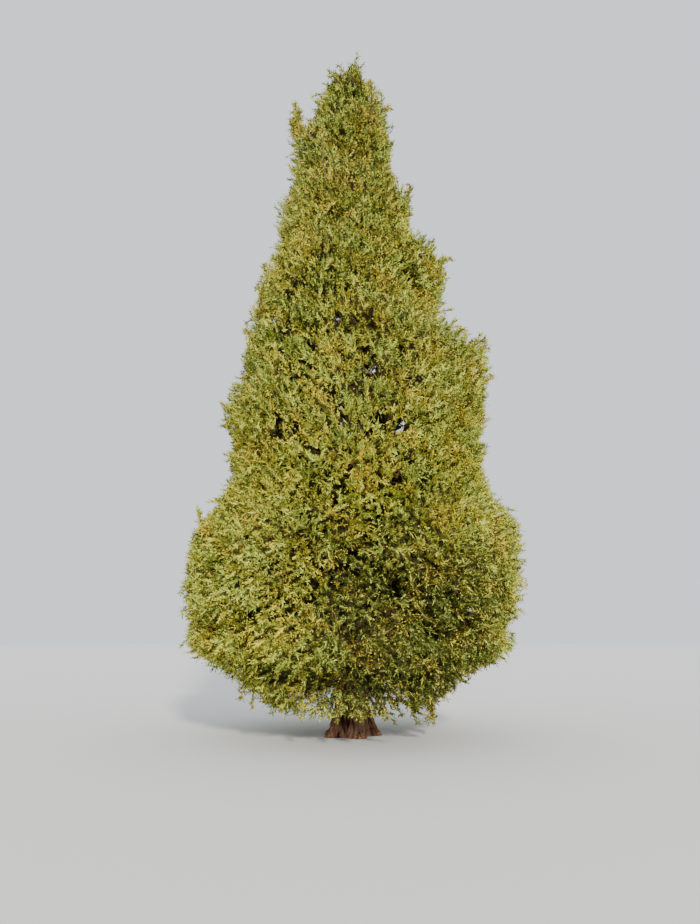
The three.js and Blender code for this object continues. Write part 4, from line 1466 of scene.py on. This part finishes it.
def dealt_tints(sprays, rng):
    """The tint of each spray: hue by place, painted light or shade by chance and place."""
    x, y, z = sprays.root.T
    slow = np.sin(4.3 * x + 2.6 * z) * np.sin(3.6 * y - 5.2 * z + 0.8)
    slow += 0.8 * np.sin(9.1 * x - 4.7 * y + 2.0) * np.sin(8.3 * z + 3.9 * y)
    warm = EVEN_WARMTH + CLUMP_WARMTH * slow - INNER_WARMTH * (sprays.share - 0.7)
    warm += rng.normal(0, WARMTH_SCATTER, len(x)) - GREEN_TUFTS * sprays.beyond
    hue = np.digitize(warm, HUE_BOUNDS)
    light = rng.random(len(x)) + OUTER_LIGHT * (sprays.share - 0.6)
    light += PAINTED_LIGHT_BELOW * (EVEN_HEIGHT - z)
    light += PAINTED_LIGHT_POOL * painted_light_pool_at(sprays.root) - PAINTED_SHADOW * painted_shadow_at(sprays.root)
    shade = np.digitize(light, SHADE_BOUNDS)
    # Dark tints, partly shed foliage and partly painted shade, for large sprays far in and some at
    # clump edges.
    far_in = inward_share(np.minimum(sprays.root, HEIGHT - SPACE_MARGIN)) > DARK_FROM
    by_chance = rng.random(len(x)) < DARK_CHANCE * (sprays.off - DARK_OFF)
    dark = np.where(rng.random(len(x)) < DEEP_GREEN_SHARE, *DEEP_TINTS)
    return np.where(sprays.deep & far_in | by_chance, dark, 3 * hue + shade)


def tints_of_blades(tints, tones):
    """The tint of every blade of some sprays: the spray's, or a step of painted light or shade."""
    spray = tints[:, None]
    blades = spray - spray % 3 + np.clip(spray % 3 + tones, 0, 2)
    return np.where(spray < DEEP_TINTS[0], blades, spray)


# %% [markdown]
# ## The sprays
# Each spray is a copy of one of the five shapes, turned and scaled to its place. An object for
# each would be far too many, so the copies are worked out as arrays, and the sprays of a tier
# become one mesh that takes the place of the tier's solids.

# %% Sprays
def spread_out(sprays, places):
    """A shape's corners at every spray's own place, turn and size."""
    thick = np.cross(sprays.across, sprays.ahead)
    length = sprays.length[:, None, None]
    return sprays.root[:, None] + length * (
        places[:, 0, None] * sprays.across[:, None]
        + places[:, 1, None] * sprays.ahead[:, None]
        + places[:, 2, None] * thick[:, None]
    )


def foliage_of(mass, rng):
    """One mass's sprays as places, triangles and the tint of each triangle."""
    mass.tints = tints = dealt_tints(mass.sprays, rng)
    kinds = rng.integers(0, OUTER_KINDS, len(tints))
    kinds = np.where(mass.sprays.deep, OUTER_KINDS, kinds)
    parts, part_tints = [], []
    for kind, (places, triangles) in enumerate(spray_shapes):
        chosen = picked(mass.sprays, kinds == kind)
        corners = spread_out(chosen, places)
        offsets = np.arange(len(corners)) * len(places)
        faces = triangles[None] + offsets[:, None, None]
        parts.append((corners.reshape(-1, 3), faces.reshape(-1, 3)))
        tones = SPRAY_SHAPES[kind].tones
        part_tints.append(tints_of_blades(tints[kinds == kind], tones).reshape(-1))
    return merged(parts), np.concatenate(part_tints)


for tier in tiers:
    members = [mass for mass in masses if mass.tier == tier]
    rng = np.random.default_rng(100 + tiers.index(tier))
    grown = [foliage_of(mass, rng) for mass in members]
    places, triangles = merged([part for part, _ in grown])
    tint_of = np.concatenate([tints for _, tints in grown])
    piece = joined_mesh(f"{tier}_sprays", places, triangles, tint_materials, tint_of)
    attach(piece, BODY)
    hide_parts(*[mass.name for mass in members])
    print(piece.name, len(triangles), "triangles")


# %% [markdown]
# ## Pollen cones
# In late autumn the tips of many sprays carry a golden pollen cone no bigger than a grain of
# rice. They give the tree its speckle. One cone would do as a small faceted spindle: a ball of
# few faces, drawn out. Thousands are placed as arrays at the tips of outer sprays, more of them
# where the foliage is warm. They are larger than life, so that fewer will do.

# %% Cones
CONE_LENGTH, CONE_SLIMNESS = 0.044, 0.48
CONE_FOOT, CONE_HEAD = 0.4, 0.6  # shares of its length below and above its widest place
CONE_CHANCE = (0.03, 0.08, 0.15)  # that a spray bears one: green, olive and gold sprays
CONE_PLACE = 0.9  # along the spray
CONE_DROOP, CONE_SIZES = 0.3, (0.8, 1.2)
CONE_TINT = Tint("pollen cone", (0.84, 0.62, 0.09), 0.7)


def model_cone():
    """A three-sided spindle, one long, with its foot at the origin and growing along +Y."""
    deselect_all()
    radius = CONE_SLIMNESS / 2
    bpy.ops.mesh.primitive_cone_add(
        vertices=3, radius1=radius, depth=CONE_HEAD, end_fill_type="NOTHING", location=(0, 0, 0)
    )
    cone = bpy.context.active_object
    bpy.ops.object.mode_set(mode="EDIT")
    bpy.ops.mesh.select_all(action="DESELECT")
    bpy.ops.mesh.primitive_cone_add(
        vertices=3, radius1=radius, depth=CONE_FOOT, end_fill_type="NOTHING",
        location=(0, 0, -0.5), rotation=(math.pi, 0, math.pi),
    )
    bpy.ops.mesh.select_all(action="SELECT")
    bpy.ops.mesh.remove_doubles(threshold=1e-4)
    bpy.ops.mesh.normals_make_consistent(inside=False)
    bpy.ops.transform.translate(value=(0, 0, CONE_FOOT + CONE_HEAD / 2))
    bpy.ops.transform.rotate(value=math.pi / 2, orient_axis="X", center_override=(0, 0, 0))
    bpy.ops.object.mode_set(mode="OBJECT")
    places = places_of(cone)
    triangles = np.array([list(face.vertices) for face in cone.data.polygons])
    bpy.data.objects.remove(cone)
    return places, triangles


def cones_of(mass, places, triangles, rng):
    """One mass's cones as places and triangles."""
    hue = np.where(mass.tints < DEEP_TINTS[0], mass.tints // 3, -1)
    chance = np.append(CONE_CHANCE, 0.0)[hue]
    bearers = picked(mass.sprays, rng.random(len(hue)) < chance)
    tips = bearers.root + bearers.ahead * (CONE_PLACE * bearers.length)[:, None]
    cones = SimpleNamespace(
        root=tips, ahead=unit(bearers.ahead - UP * CONE_DROOP), across=bearers.across,
        length=CONE_LENGTH * rng.uniform(*CONE_SIZES, len(tips)),
    )
    cones.across = unit(np.cross(cones.ahead, np.cross(cones.across, cones.ahead)))
    corners = spread_out(cones, places)
    offsets = np.arange(len(corners)) * len(places)
    return corners.reshape(-1, 3), (triangles[None] + offsets[:, None, None]).reshape(-1, 3)


cone_shape = model_cone()
rng = np.random.default_rng(200)
cones = joined_mesh(
    "pollen_cones", *merged([cones_of(mass, *cone_shape, rng) for mass in masses]),
    [tint_material(CONE_TINT)],
)
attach(cones, BODY)
print(cones.name, len(cones.data.polygons), "triangles")

# %% [markdown]
# ## Floor and light
# The part is shown by itself: a plain pale floor, a low soft sun from the camera's side and a
# little from the right, as in the photograph, and pale light from all round that keeps the
# shaded side readable.

# %% Floor, sun and sky
FLOOR_RADIUS = 90.0
SUN_TURN, SUN_RISE, SUN_SOFTNESS = math.radians(14), math.radians(25), math.radians(6)
SUN_STRENGTH, SKY_STRENGTH = 4.0, 1.15

deselect_all()
bpy.ops.mesh.primitive_circle_add(vertices=96, radius=FLOOR_RADIUS, fill_type="NGON")
floor = bpy.context.active_object
floor.name = "floor"
floor_finish = bpy.data.materials.new("pale floor")
floor_finish.use_nodes = True
floor_shader = floor_finish.node_tree.nodes["Principled BSDF"]
floor_shader.inputs["Base Color"].default_value = (0.72, 0.72, 0.7, 1.0)
floor_shader.inputs["Roughness"].default_value = 0.9
floor.data.materials.append(floor_finish)

sun_data = bpy.data.lights.new("sun", "SUN")
sun_data.energy = SUN_STRENGTH
sun_data.angle = SUN_SOFTNESS
sun_data.color = (1.0, 0.95, 0.86)
sun = bpy.data.objects.new("sun", sun_data)
bpy.context.scene.collection.objects.link(sun)
sun.rotation_euler = (math.pi / 2 - SUN_RISE, 0.0, SUN_TURN)

world = bpy.data.worlds.new("studio")
bpy.context.scene.world = world
world.use_nodes = True
background = world.node_tree.nodes["Background"]
background.inputs["Color"].default_value = (0.9, 0.94, 1.0, 1.0)
background.inputs["Strength"].default_value = SKY_STRENGTH

# %% [markdown]
# ## The size of the dressed tree
# Dressing a model must not change its size; the solids' box is printed at the start.
